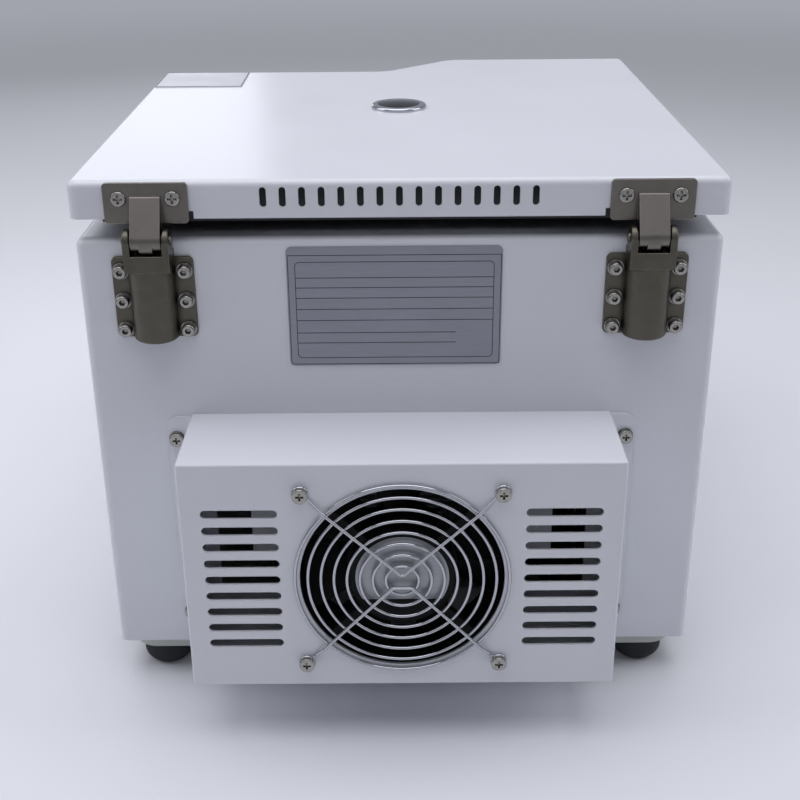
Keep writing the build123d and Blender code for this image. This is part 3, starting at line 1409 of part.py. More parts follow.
def fan_box():
    """Folded box with slots and the fan's hole, welded to a flange plate on the rear wall."""
    xs, zs = about(0, box_width), about(box_z, box_height)
    box = block(xs, (rear_y, box_rear), zs)
    box = fillet(box.edges().filter_by(Axis.Y), box_edge)
    box = fillet(box.edges().group_by(Axis.Y)[-1], box_edge)
    plate_face = upright((box_flange_width, box_flange_height), box_flange_corner, 0,
                         rear_y + sheet, box_flange_z)
    box += extrude(plate_face, sheet)
    inner_xs, inner_zs = about(0, box_width - 2 * sheet), about(box_z, box_height - 2 * sheet)
    box -= block(inner_xs, (rear_y - 1, box_rear - sheet), inner_zs)
    box -= rod_y(fan_hole, about(box_rear, through), 0, fan_z)
    for x in guard_hole_xs:
        for z in guard_hole_zs():
            box -= rod_y(m4_pan[2] + screw_fit, about(box_rear, through), x, z)
    for x, z in box_screw_places():
        box -= rod_y(m4_pan[2] + screw_fit, about(rear_y, through), x, z)
    for row in range(slot_rows):
        z = fan_z + (row - (slot_rows - 1) / 2) * slot_pitch
        for x in (-slot_x, slot_x):
            plane = Plane(origin=(x, box_rear + 1, z), x_dir=(1, 0, 0), z_dir=(0, -1, 0))
            box -= extrude(plane * SlotOverall(slot_length, slot_width), sheet + 2)
    return box


def guard_hole_zs():
    return [fan_z + x for x in guard_hole_xs]


def box_screws():
    """Screws of the flange plate, with spring washers."""
    return [screw(facing_rear(x, rear_y + sheet, z), m4_pan, box_screw_length, socket=False,
                  with_washer=True)
            for x, z in box_screw_places()]


def air_baffles():
    """Two upright plates beside the fan, hung from the roof of the box."""
    roof = box_z + box_height / 2 - sheet
    start = rear_y + baffle_back
    inner, outer = baffle_span
    plates = []
    for side in (-1, 1):
        xs = sorted((side * inner, side * outer))
        plate = block(xs, (start, start + baffle_sheet), (fan_z + baffle_bottom, roof))
        flange = block(xs, (start, start + baffle_flange), (roof - baffle_sheet, roof))
        plates.append(plate + flange)
    return plates


def fan_frame():
    """Square frame with a round duct, four struts and the stator's cover."""
    front = fan_face - fan_depth
    half = fan_size / 2
    zs = (fan_z - half, fan_z + half)
    frame = rod_y(fan_bore + fan_wall, (front, fan_face), 0, fan_z)
    for start in (front, fan_face - fan_flange):
        plate = block((-half, half), (start, start + fan_flange), zs)
        frame += fillet(plate.edges().filter_by(Axis.Y), fan_corner)
    frame -= rod_y(fan_bore, (front - 1, fan_face + 1), 0, fan_z)
    stator_face = fan_face - stator_recess
    stator = rod_y(stator_radius, (stator_face - stator_depth, stator_face), 0, fan_z)
    stator = fillet(stator.edges().group_by(Axis.Y)[-1], stator_edge)
    strut_face = stator_face - strut_setback
    arm = block((stator_radius - 2, fan_bore + 1), (strut_face - strut[1], strut_face), about(0, strut[0]))
    for k in range(4):
        frame += Pos(0, 0, fan_z) * Rot(0, 45 + 90 * k, 0) * arm
    frame += stator
    frame -= rod_y(fan_shaft + turn_play, (front, stator_face - stator_cap), 0, fan_z)
    for x in guard_hole_xs:
        for z in guard_hole_zs():
            frame -= rod_y(m4_pan[2] + screw_fit, (front - 1, fan_face + 1), x, z)
    return frame


def fan_impeller():
    """Cup with seven pitched blades and the shaft that turns in the stator."""
    stator_back = fan_face - stator_recess - stator_depth
    back = stator_back - impeller_gap
    front = back - impeller_depth
    hub = rod_y(impeller_radius, (front, back), 0, 0)
    hub = fillet(hub.edges().group_by(Axis.Y)[0], impeller_edge)
    shaft_end = fan_face - stator_recess - stator_cap - fan_shaft_cap
    hub += rod_y(fan_shaft, (back - 1, shaft_end), 0, 0)
    middle = (front + back) / 2
    root = blade_section(impeller_radius - 2, middle, blade_pitch[0])
    tip = blade_section(blade_tip, middle, blade_pitch[1])
    blade = loft([root, tip]) & rod_y(blade_tip, (front, back), 0, 0)
    for k in range(blade_count):
        hub += Rot(0, 360 / blade_count * k, 0) * blade
    return Pos(0, 0, fan_z) * hub


def blade_section(radius, y, pitch):
    """Section of a blade at a radius, turned by its pitch."""
    chord = 2 * math.pi * radius / blade_count * blade_cover
    deepest = impeller_depth / math.sin(math.radians(pitch))
    plane = Plane(origin=(0, y, radius), x_dir=(1, 0, 0), z_dir=(0, 0, 1))
    return plane * Rot(0, 0, pitch) * Rectangle(min(chord, deepest), blade_sheet)


def fan_label():
    """Bare round disc with a flat edge, on the stator's cover."""
    y = fan_face - stator_recess
    disc = rod_y(fan_label_radius, (y, y + label_thickness), 0, fan_z)
    below = (fan_z - 2 * fan_label_radius, fan_z - fan_label_chord)
    return disc - block(about(0, 4 * fan_label_radius), about(y, 4 * label_thickness), below)


def fan_guard():
    """Concentric wire rings held by two bent wires with an eyelet at each end."""
    plane_y = box_rear + guard_standoff
    wire = guard_wire / 2
    guard = Part()
    for k in range(guard_rings):
        ring = Torus(guard_first_ring + k * guard_pitch, wire)
        guard += Pos(0, plane_y, fan_z) * Rot(90, 0, 0) * ring
    over_y = box_rear + guard_over
    half = fan_screw_spacing / 2
    ring = eyelet_radius - wire
    end = half - ring / math.sqrt(2)
    rise = half - (eyelet_radius + guard_wire) / math.sqrt(2)
    last = guard_first_ring + (guard_rings - 1) * guard_pitch
    knee = (last + guard_knee) / math.sqrt(2)
    for side, flat in zip((-1, 1), guard_flats):
        points = [(-end, box_rear + wire, side * end), (-rise, box_rear + wire, side * rise)]
        points += [(-knee, over_y, side * knee)]
        points += [(-flat, over_y, side * guard_vertex), (flat, over_y, side * guard_vertex)]
        points += [(knee, over_y, side * knee), (rise, box_rear + wire, side * rise)]
        points += [(end, box_rear + wire, side * end)]
        guard += Pos(0, 0, fan_z) * wire_run(points, wire)
        for x in guard_hole_xs:
            guard += Pos(x, box_rear + wire, fan_z + side * half) * Rot(90, 0, 0) * Torus(ring, wire)
    return guard


def guard_screws():
    """Pan-head screws through the guard's eyelets, the panel and the fan's flange."""
    length = sheet + guard_wire + fan_flange + nut_grip
    return [screw(facing_rear(x, box_rear + guard_wire, z), m4_round, length, socket=False)
            for x in guard_hole_xs for z in guard_hole_zs()]


# ---------------------------------------------------------------- write every piece
def both_hinges(piece):
    return [piece(x) for x in hinge_xs]


pieces = {
    "cabinet_shell": cabinet_shell,
    "base_pan": base_pan,
    "rubber_feet": rubber_feet,
    "base_screws": base_screws,
    "rating_plate": rating_plate,
    "fascia_shell": fascia_shell,
    "display_window": display_window,
    "start_key": lambda: key(key_xs[0]),
    "stop_key": lambda: key(key_xs[1]),
    "lid_key": lambda: key(key_xs[2]),
    "control_knob": control_knob,
    "knob_encoder": knob_encoder,
    "control_board": control_board,
    "power_board": power_board_part,
    "board_standoffs": board_standoffs,
    "board_screws": board_screws,
    "inlet_socket": inlet_socket,
    "switch_bezel": switch_bezel,
    "power_rocker": power_rocker,
    "chamber_bowl": chamber_bowl,
    "bowl_gasket": bowl_gasket,
    "armour_ring": armour_ring,
    "ring_studs": ring_studs,
    "motor_pillars": motor_pillars,
    "motor_dampers": motor_dampers,
    "motor_plate": motor_plate,
    "motor_body": motor_body,
    "motor_bearings": motor_bearings,
    "motor_shaft": motor_shaft,
    "rotor_yoke": rotor_yoke,
    "rotor_nut": rotor_nut,
    "trunnion_pins": trunnion_pins,
    "front_carrier": lambda: plate_carrier(-1),
    "rear_carrier": lambda: plate_carrier(1),
    "lock_frame": lock_frame,
    "lock_solenoid": lock_solenoid,
    "latch_bolt": latch_bolt,
    "lid_striker": lid_striker,
    "lid_shell": lid_shell,
    "lid_liner": lid_liner,
    "liner_screws": liner_screws,
    "lid_gasket": lid_gasket,
    "port_bezel": port_bezel,
    "port_lens": port_lens,
    "lid_plate": lid_plate,
    "hinge_leaves": lambda: both_hinges(hinge_leaf),
    "leaf_screws": leaf_screws,
    "hinge_brackets": lambda: both_hinges(hinge_bracket),
    "bracket_screws": bracket_screws,
    "hinge_pins": lambda: both_hinges(hinge_pin),
    "hinge_plungers": lambda: both_hinges(hinge_plunger),
    "hinge_springs": lambda: both_hinges(hinge_spring),
    "fan_box": fan_box,
    "box_screws": box_screws,
    "air_baffles": air_baffles,
    "fan_frame": fan_frame,
    "fan_impeller": fan_impeller,
    "fan_label": fan_label,
    "fan_guard": fan_guard,
    "guard_screws": guard_screws,
}

os.makedirs("parts", exist_ok=True)
for name, build in pieces.items():
    shape = build()
    export(name, Compound(children=shape) if isinstance(shape, list) else shape)
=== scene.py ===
"""Finishes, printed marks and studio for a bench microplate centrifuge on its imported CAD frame."""

import json
import math

import bpy
from mathutils import Matrix, Vector


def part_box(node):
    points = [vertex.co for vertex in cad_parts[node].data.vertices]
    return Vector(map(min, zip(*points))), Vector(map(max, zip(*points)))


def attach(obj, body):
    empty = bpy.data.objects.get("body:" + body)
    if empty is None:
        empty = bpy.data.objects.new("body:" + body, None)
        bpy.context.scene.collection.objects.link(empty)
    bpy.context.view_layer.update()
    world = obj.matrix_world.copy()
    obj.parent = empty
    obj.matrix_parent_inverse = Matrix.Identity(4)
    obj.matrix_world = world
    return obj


bl_info = {
    "name": "Bench centrifuge finishes",
    "version": (1, 0, 0),
    "blender": (4, 5, 0),
    "location": "View3D > Sidebar > Centrifuge",
    "description": "Finishes, printed marks and a studio for a bench microplate centrifuge",
    "category": "Object",
}

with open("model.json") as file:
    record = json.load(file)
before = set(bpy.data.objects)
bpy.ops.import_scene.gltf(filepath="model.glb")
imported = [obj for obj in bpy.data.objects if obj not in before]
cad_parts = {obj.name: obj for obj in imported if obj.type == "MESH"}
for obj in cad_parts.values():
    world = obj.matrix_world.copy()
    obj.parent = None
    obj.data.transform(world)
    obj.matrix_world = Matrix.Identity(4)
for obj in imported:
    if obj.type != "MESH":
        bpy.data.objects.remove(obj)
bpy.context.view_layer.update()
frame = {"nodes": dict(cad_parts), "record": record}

MM = 0.001
SLOPE = math.radians(25)     # tilt of the control face
PANE = 2.0 * MM              # thickness of the display pane
CONTROLS_DOWN = 45.0 * MM    # keys and knob below the display's middle, along the slope

# the part of a pattern's range, nought to one, that is spread over a result
MIDDLE = (0.3, 0.7)
BROAD = (0.2, 0.8)
BROADER = (0.1, 0.9)
WHOLE = (0.0, 1.0)


# ------------------------------------------------------------------ sizes and colours
def linear(code):
    """An sRGB hex code as linear red, green and blue."""
    parts = [int(code[i:i + 2], 16) / 255 for i in (1, 3, 5)]
    return tuple(p / 12.92 if p <= 0.04045 else ((p + 0.055) / 1.055) ** 2.4 for p in parts)


def length(name, description, default, **more):
    """A length property, kept in metres and shown in scene units."""
    return bpy.props.FloatProperty(name=name, description=description, default=default * MM,
                                   unit="LENGTH", subtype="DISTANCE", precision=5, **more)


def colour(name, description, code):
    """A colour property, given as an sRGB hex code."""
    return bpy.props.FloatVectorProperty(name=name, description=description, default=linear(code),
                                         subtype="COLOR", size=3, min=0.0, max=1.0)


def power(name, description, watts):
    """A lamp's power."""
    return bpy.props.FloatProperty(name=name, description=description, default=watts,
                                   min=0.0, unit="POWER")


def angle(name, description, degrees):
    """An angle property, given in degrees."""
    return bpy.props.FloatProperty(name=name, description=description,
                                   default=math.radians(degrees), subtype="ANGLE")


class StudioSettings(bpy.types.PropertyGroup):
    """The stage, the lamps and the camera."""
    floor_size: length("Floor size", "Side of the square floor", 9000.0, min=1.0)
    floor_colour: colour("Floor", "Pale table top under the machine", "#F3F4F9")
    backdrop_colour: colour("Backdrop", "What the camera and shiny surfaces see behind the floor",
                            "#A2A4AD")
    fade_start: length("Fade start", "Distance at which the floor begins to fade into the backdrop",
                       1100.0)
    fade_end: length("Fade end", "Distance at which only the backdrop is left", 3200.0)
    sky_colour: colour("Sky colour", "Even light all round", "#F4F6FA")
    sky_strength: bpy.props.FloatProperty(name="Sky", description="Strength of the even light",
                                          default=0.05, min=0.0)
    lamp_colour: colour("Lamp colour", "Light of the softboxes and the strip", "#F7F8FF")
    window_colour: colour("Window colour", "Light of the window", "#F4F7FF")
    overhead_power: power("Overhead", "Softbox above the machine", 30.0)
    left_power: power("Left", "Softbox on the viewer's left", 8.8)
    right_power: power("Right", "Softbox on the viewer's right", 8.8)
    front_power: power("Front", "High strip light above the camera", 2.5)
    window_power: power("Window", "Low window that gleams in the lid", 1.3)
    lens: bpy.props.FloatProperty(name="Lens", description="Focal length in millimetres",
                                  default=57.014, min=1.0)
    place: bpy.props.FloatVectorProperty(name="Camera place", description="Where the camera stands",
                                         default=(0.00006, 0.81197, 0.47343), size=3,
                                         subtype="TRANSLATION", unit="LENGTH")
    pitch: angle("Pitch", "Camera's tilt above the horizon", -24.508)
    heading: angle("Heading", "Camera's turn about the vertical", 180.042)
    roll: angle("Roll", "Camera's turn about its own axis", -0.449)


class FinishSettings(bpy.types.PropertyGroup):
    """Colours of the machine's finishes."""
    coat: colour("Powder coat", "Cabinet, lid and fan box", "#E3E5EB")
    pan: colour("Pan coat", "Base pan", "#C6C9C2")
    moulding: colour("Moulding", "Front moulding", "#DFE0E1")
    liner: colour("Liner", "Lid's inner tray", "#26282B")
    rubber: colour("Rubber", "Feet, dampers and seals", "#17181A")
    zinc: colour("Zinc plate", "Screws, studs and lock parts", "#B4B7BB")
    plate: colour("Grey plate", "Rating plate", "#9598A0")
    foil: colour("Foil", "Lid plate", "#DADBDF")
    # darker than the lid plate's foil: partly for the label's text, which is not printed, partly
    # painted shade under the fan guard
    label: colour("Label", "Fan label", "#A6A8AC")
    pane: colour("Pane", "Display pane and port window", "#08090C")
    key_grey: colour("Grey key", "Stop and lid keys", "#6C727B")
    key_green: colour("Green key", "Start key", "#2F8059")
    black: colour("Black plastic", "Knob, inlet and switch", "#101113")
    # darker than the other black plastic: painted shade on the fan inside its box
    fan_black: colour("Fan plastic", "Fan's frame and blades", "#060607")
    mask: colour("Solder mask", "Circuit boards", "#12563A")
    stainless: colour("Stainless", "Bowl, shaft and pins", "#C9C8C4")
    ring_paint: colour("Ring paint", "Armour ring and motor plate", "#232427")
    motor_paint: colour("Motor paint", "Motor", "#3A4148")
    anodised: colour("Anodised", "Rotor and carriers", "#B9BCC1")
    # leaves and arms take a lighter copy of the housings' nickel, painted light for the light the arms
    # catch; the housings take the darker, shaded copy
    nickel: colour("Cast hinge", "Hinge housings", "#605C53")
    leaf: colour("Hinge leaf", "Hinge leaves and arms", "#78736D")
    steel: colour("Dark steel", "Hinge pins, plungers and springs", "#6E6A64")
    screw: colour("Bright screw", "Screws of the hinges and of the fan box", "#A5A29C")
    galvanised: colour("Galvanised", "Air baffles", "#DADCE0")
    chrome: colour("Chrome", "Fan guard and port ring", "#B4B6BA")
    ink: colour("Ink", "Printed lines", "#15171C")
    white_ink: colour("White ink", "Marks on dark pieces", "#E6E8EA")
    unlit: colour("Unlit segment", "Display segments at rest", "#1B2025")


class MarkSettings(bpy.types.PropertyGroup):
    """Sizes of the printed marks."""
    film: length("Film", "How far print stands off its surface", 0.06, min=0.0)
    line: length("Line", "Width of a table line", 0.35, min=0.0)
    border: length("Border", "Width of a plate's outer line", 0.55, min=0.0)
    plate_strip: length("Plate strip", "Bare strip along the rating plate's top", 4.5)
    inner_inset: length("Inner inset", "Inner border from the outer one", 3.7)
    inner_corner: length("Inner corner", "Corner of the inner border", 2.4)
    code_space: length("Code space", "Bare square that the lower lines stop short of", 20.0)
    tick: length("Tick", "Length of a mark round the knob", 3.6)
    tick_ring: length("Tick ring", "Middle of the marks from the knob's axis", 21.5)
    symbol: length("Symbol", "Size of a key's symbol", 5.6)
    digit: length("Digit", "Height of a display digit", 15.0)


# ------------------------------------------------------------------ shader helpers
def node(material, kind, values=None, **settings):
    """Adds one node with its settings; each value is put on the named socket or linked to it."""
    made = material.node_tree.nodes.new(kind)
    for key, value in settings.items():
        setattr(made, key, value)
    for key, value in (values or {}).items():
        socket = made.inputs[key]
        if isinstance(value, bpy.types.NodeSocket):
            material.node_tree.links.new(value, socket)
        else:
            socket.default_value = value
    return made


def per(size):
    """The texture scale whose cells are this many millimetres wide."""
    return 1 / (size * MM)


def rgba(rgb):
    """An opaque colour."""
    return (*rgb, 1.0)


def shade(rgb, factor):
    """A lighter or darker colour."""
    return tuple(min(1.0, part * factor) for part in rgb)


def blank(name):
    """An empty material and the place its patterns are read from."""
    material = bpy.data.materials.new(name)
    material.use_nodes = True
    material.node_tree.nodes.clear()
    place = node(material, "ShaderNodeTexCoord").outputs["Object"]
    return material, place


def noise(material, place, size, detail=2.0, roughness=0.5):
    """Cloudy pattern with patches of this many millimetres."""
    return node(material, "ShaderNodeTexNoise", {
        "Vector": place, "Scale": per(size), "Detail": detail, "Roughness": roughness,
    }).outputs["Fac"]


def spread(material, value, low, high, span=MIDDLE):
    """Maps a span of a pattern to a range of values."""
    return node(material, "ShaderNodeMapRange", {
        "Value": value, "From Min": span[0], "From Max": span[1], "To Min": low, "To Max": high,
    }).outputs["Result"]


def tint(material, value, dark, light, span=MIDDLE):
    """Maps a span of a pattern to a colour between two."""
    ramp = node(material, "ShaderNodeValToRGB", {"Fac": value})
    for stop, position, rgb in zip(ramp.color_ramp.elements, span, (dark, light)):
        stop.position = position
        stop.color = rgba(rgb)
    return ramp.outputs["Color"]


def relief(material, height, depth, strength=1.0, under=None, edge=0.0):
    """Turns a pattern into relief of this many millimetres, over another relief or a soft edge."""
    if under is None and edge:
        under = node(material, "ShaderNodeBevel", {"Radius": edge * MM}, samples=4).outputs["Normal"]
    values = {"Height": height, "Distance": depth * MM, "Strength": strength}
    if under is not None:
        values["Normal"] = under
    return node(material, "ShaderNodeBump", values).outputs["Normal"]


def scaled(material, rgb, factor):
    """A colour made lighter or darker by a pattern."""
    return node(material, "ShaderNodeVectorMath", {0: rgb, "Scale": factor},
                operation="SCALE").outputs["Vector"]


def recess_oil_and_shade(material, rgb, reach, dark):
    """Darkens a colour where a surface is closed in: painted shade in a recess, with some dark oil in
    it.
    """
    closed = node(material, "ShaderNodeAmbientOcclusion", {"Distance": reach * MM},
                  samples=6).outputs["AO"]
    return scaled(material, rgb, spread(material, closed, dark, 1.0, span=(0.25, 0.85)))


def edge_wear_and_highlight(material, rgb, radius, gain):
    """Brightens a colour along the edges: a painted edge highlight, with the polish that handling
    gives them.
    """
    soft = node(material, "ShaderNodeBevel", {"Radius": radius * MM}, samples=6).outputs["Normal"]
    flat = node(material, "ShaderNodeNewGeometry").outputs["Normal"]
    turn = node(material, "ShaderNodeVectorMath", {0: soft, 1: flat},
                operation="DOT_PRODUCT").outputs["Value"]
    return scaled(material, rgb, spread(material, turn, gain, 1.0, span=(0.88, 0.995)))


def surface(material, values):
    """The finished surface of a material."""
    shader = node(material, "ShaderNodeBsdfPrincipled", values)
    node(material, "ShaderNodeOutputMaterial", {"Surface": shader.outputs["BSDF"]})
    return material


# ------------------------------------------------------------------ finishes
def powder_coat(name, rgb, gloss=0.22):
    """Polyester powder, sprayed on and baked: a hard semi-gloss skin with a fine orange peel."""
    material, place = blank(name)
    peel = noise(material, place, 1.5, detail=2.0, roughness=0.45)
    sag = noise(material, place, 9.0, detail=1.0)
    film = noise(material, place, 90.0, detail=1.0)
    waves = relief(material, sag, 0.04, edge=0.7)
    return surface(material, {
        "Base Color": tint(material, film, shade(rgb, 0.98), rgb, BROAD),
        "Roughness": spread(material, film, gloss - 0.02, gloss + 0.04, BROAD),
        "IOR": 1.5,
        "Normal": relief(material, peel, 0.07, under=waves),
    })


def moulded_abs(name, rgb):
    """ABS moulded in a spark-eroded tool: a dry, even grain that scatters the light."""
    material, place = blank(name)
    grain = noise(material, place, 0.55, detail=3.0, roughness=0.6)
    flow = noise(material, place, 40.0)
    return surface(material, {
        "Base Color": tint(material, flow, shade(rgb, 0.97), rgb),
        "Roughness": spread(material, grain, 0.40, 0.56),
        "IOR": 1.54,
        "Normal": relief(material, grain, 0.03, edge=0.5),
    })


def black_pbt(name, rgb, dull=0.36, mirror=0.5):
    """Glass-filled PBT: nearly black, with a faint mottle and a soft sheen."""
    material, place = blank(name)
    grain = noise(material, place, 0.4, detail=3.0, roughness=0.6)
    mottle = noise(material, place, 7.0, detail=3.0)
    return surface(material, {
        "Base Color": tint(material, mottle, shade(rgb, 0.8), shade(rgb, 1.4)),
        "Roughness": spread(material, mottle, dull, dull + 0.14),
        "IOR": 1.57,
        "Specular IOR Level": mirror,
        "Normal": relief(material, grain, 0.02, edge=0.3),
    })


def moulded_rubber(name, rgb):
    """Compression-moulded rubber: deep black, dusted grey where it has been handled."""
    material, place = blank(name)
    bloom = noise(material, place, 12.0, detail=4.0, roughness=0.65)
    grain = noise(material, place, 0.5)
    return surface(material, {
        "Base Color": tint(material, bloom, rgb, shade(rgb, 2.2), span=(0.4, 0.8)),
        "Roughness": spread(material, bloom, 0.62, 0.85),
        "IOR": 1.52,
        "Normal": relief(material, grain, 0.03),
    })


def silicone_key(name, rgb):
    """Silicone rubber key: soft colour under a satin top coat."""
    material, place = blank(name)
    wear = noise(material, place, 5.0, detail=3.0)
    return surface(material, {
        "Base Color": tint(material, wear, shade(rgb, 0.92), rgb),
        "Roughness": spread(material, wear, 0.42, 0.55),
        "IOR": 1.42,
        "Normal": relief(material, noise(material, place, 0.4), 0.012, edge=0.3),
    })


def plated_steel(name, rgb, low=0.22, high=0.38):
    """Zinc or nickel on turned steel: bright, with a faint cloud of blue and straw."""
    material, place = blank(name)
    cloud = noise(material, place, 4.0, detail=3.0, roughness=0.6)
    warm = (rgb[0], rgb[1] * 0.98, rgb[2] * 0.92)
    return surface(material, {
        "Base Color": tint(material, cloud, shade(warm, 0.86), rgb),
        "Metallic": 1.0,
        "Roughness": spread(material, cloud, low, high),
        "Normal": relief(material, noise(material, place, 0.35), 0.008, edge=0.25),
    })


def cast_nickel(name, rgb):
    """Investment-cast, tumbled and nickel plated: a warm grey skin with a fine cast grain."""
    material, place = blank(name)
    grain = noise(material, place, 0.55, detail=4.0, roughness=0.65)
    patch = noise(material, place, 11.0, detail=4.0, roughness=0.6)
    rolled = relief(material, noise(material, place, 3.2), 0.03, edge=0.5)
    body = tint(material, patch, shade(rgb, 0.82), rgb)
    return surface(material, {
        # edges painted brighter as a highlight, recesses painted darker as shade
        "Base Color": recess_oil_and_shade(material, edge_wear_and_highlight(material, body, 0.45, 1.9), 4.0, 0.35),
        "Metallic": 1.0,
        "Roughness": spread(material, patch, 0.26, 0.38),
        "Normal": relief(material, grain, 0.025, under=rolled),
    })


def screw_steel(name, rgb):
    """Nickel-plated screws: bright turned heads, and recesses painted nearly black as shade, with some
    oil.
    """
    material, place = blank(name)
    cloud = noise(material, place, 2.5, detail=3.0, roughness=0.6)
    return surface(material, {
        # recesses darkened to a few hundredths of the colour: painted shade
        "Base Color": recess_oil_and_shade(material, tint(material, cloud, shade(rgb, 0.8), rgb), 2.0, 0.03),
        "Metallic": 1.0,
        "Roughness": spread(material, cloud, 0.10, 0.20),
        "Normal": relief(material, noise(material, place, 0.35), 0.006, edge=0.35),
    })


def spun_stainless(name, rgb, axis):
    """Stainless sheet spun on a lathe: fine rings round the axis that stretch the highlights."""
    material, place = blank(name)
    centred = node(material, "ShaderNodeMapping",
                   {"Vector": place, "Location": (-axis.x, -axis.y, 0.0)}).outputs["Vector"]
    rings = node(material, "ShaderNodeTexWave",
                 {"Vector": centred, "Scale": per(24.0), "Distortion": 0.0},
                 wave_type="RINGS", rings_direction="SPHERICAL").outputs["Fac"]
    cloud = noise(material, place, 30.0, detail=3.0)
    return surface(material, {
        "Base Color": tint(material, cloud, shade(rgb, 0.92), rgb, BROADER),
        "Metallic": 1.0,
        "Roughness": spread(material, cloud, 0.22, 0.34, BROADER),
        "Normal": relief(material, rings, 0.012, strength=0.6),
    })


def bead_blasted(name, rgb):
    """Aluminium bead-blasted and clear anodised: an even satin with a soft bloom."""
    material, place = blank(name)
    blast = noise(material, place, 0.5, detail=3.0, roughness=0.7)
    bloom = noise(material, place, 25.0, detail=3.0)
    return surface(material, {
        "Base Color": tint(material, bloom, shade(rgb, 0.9), rgb),
        "Metallic": 1.0,
        "Roughness": spread(material, bloom, 0.34, 0.46),
        "Normal": relief(material, blast, 0.02, edge=0.4),
    })


def galvanised_sheet(name, rgb):
    """Hot-dip galvanised sheet: angular spangles, each with its own grey."""
    material, place = blank(name)
    spangle = node(material, "ShaderNodeTexVoronoi",
                   {"Vector": place, "Scale": per(7.0)}).outputs["Color"]
    grey = node(material, "ShaderNodeRGBToBW", {"Color": spangle}).outputs["Val"]
    return surface(material, {
        "Base Color": tint(material, grey, shade(rgb, 0.75), rgb, BROAD),
        "Metallic": 0.75,
        "Roughness": spread(material, grey, 0.42, 0.6, BROAD),
    })


def bright_chrome(name, rgb):
    """Chrome over bright nickel on drawn wire: a mirror with a breath of haze."""
    material, place = blank(name)
    haze = noise(material, place, 2.5, detail=3.0)
    return surface(material, {
        "Base Color": tint(material, haze, shade(rgb, 0.94), rgb),
        "Metallic": 1.0,
        "Roughness": spread(material, haze, 0.07, 0.16),
    })


def metallised_foil(name, rgb):
    """Metallised polyester label: silver with a fine brushed grain along its length."""
    material, place = blank(name)
    stretched = node(material, "ShaderNodeMapping",
                     {"Vector": place, "Scale": (0.03, 1.0, 1.0)}).outputs["Vector"]
    brush = noise(material, stretched, 0.35, roughness=0.6)
    cloud = noise(material, place, 22.0, detail=3.0)
    return surface(material, {
        "Base Color": tint(material, brush, shade(rgb, 0.9), rgb),
        "Metallic": 0.55,
        "Roughness": spread(material, cloud, 0.34, 0.46),
        "Normal": relief(material, cloud, 0.03),
    })


def smoked_acrylic(name, rgb, mirror=0.5):
    """Smoked acrylic, polished: black depth under a sharp reflection."""
    material, place = blank(name)
    dust = noise(material, place, 14.0, detail=5.0, roughness=0.7)
    return surface(material, {
        "Base Color": rgba(rgb),
        "Roughness": spread(material, dust, 0.05, 0.13, span=(0.45, 0.8)),
        "IOR": 1.49,
        "Specular IOR Level": mirror,
    })


def enamel(name, rgb):
    """Air-dried enamel over a machined or cast part: smooth, slightly uneven gloss."""
    material, place = blank(name)
    patch = noise(material, place, 16.0, detail=4.0, roughness=0.6)
    skin = noise(material, place, 1.8)
    return surface(material, {
        "Base Color": tint(material, patch, shade(rgb, 0.85), shade(rgb, 1.1)),
        "Roughness": spread(material, patch, 0.34, 0.5),
        "IOR": 1.5,
        "Normal": relief(material, skin, 0.05, edge=0.6),
    })


def solder_mask(name, rgb):
    """Glass-epoxy board under green solder mask: copper runs show as paler, raised lanes."""
    material, place = blank(name)
    lanes = node(material, "ShaderNodeTexBrick", {
        "Vector": place, "Scale": per(10.0), "Mortar Size": 0.06,
        "Color1": rgba(rgb), "Color2": rgba(shade(rgb, 0.8)), "Mortar": rgba(shade(rgb, 1.7)),
    })
    return surface(material, {
        "Base Color": lanes.outputs["Color"],
        "Roughness": spread(material, noise(material, place, 6.0), 0.25, 0.4),
        "IOR": 1.55,
        "Normal": relief(material, lanes.outputs["Fac"], 0.04),
    })


def printed_ink(name, rgb):
    """Screen-printed ink: flat colour with a slightly uneven cover and gloss."""
    material, place = blank(name)
    cover = noise(material, place, 0.5)
    return surface(material, {
        "Base Color": tint(material, cover, shade(rgb, 0.9), shade(rgb, 1.15)),
        "Roughness": spread(material, cover, 0.45, 0.6),
        "IOR": 1.5,
    })


def looked_at(tree):
    """One where a ray comes from the camera, a mirror or glass, nought where it only carries light."""
    path = node(tree, "ShaderNodeLightPath").outputs
    seen = path["Is Camera Ray"]
    for kind in ("Is Glossy Ray", "Is Transmission Ray"):
        seen = node(tree, "ShaderNodeMath", {0: seen, 1: path[kind]}, operation="MAXIMUM").outputs[0]
    return seen


def table_top(name, rgb, backdrop, fade):
    """Lacquered board: pale and softly mirroring; far away it fades into the backdrop."""
    material, place = blank(name)
    cloud = noise(material, place, 240.0, detail=3.0)
    board = node(material, "ShaderNodeBsdfPrincipled", {
        "Base Color": tint(material, cloud, shade(rgb, 0.99), rgb, WHOLE),
        "Roughness": spread(material, cloud, 0.28, 0.34, WHOLE),
        "IOR": 1.45,
    })
    reach = node(material, "ShaderNodeVectorMath", {0: place}, operation="LENGTH").outputs["Value"]
    far = node(material, "ShaderNodeMapRange",
               {"Value": reach, "From Min": fade[0], "From Max": fade[1]},
               interpolation_type="SMOOTHSTEP").outputs["Result"]
    share = node(material, "ShaderNodeMath", {0: far, 1: looked_at(material)}, operation="MULTIPLY")
    haze = node(material, "ShaderNodeEmission", {"Color": rgba(backdrop), "Strength": 1.0})
    both = node(material, "ShaderNodeMixShader",
                {0: share.outputs[0], 1: board.outputs["BSDF"], 2: haze.outputs["Emission"]})
    node(material, "ShaderNodeOutputMaterial", {"Surface": both.outputs[0]})
    return material


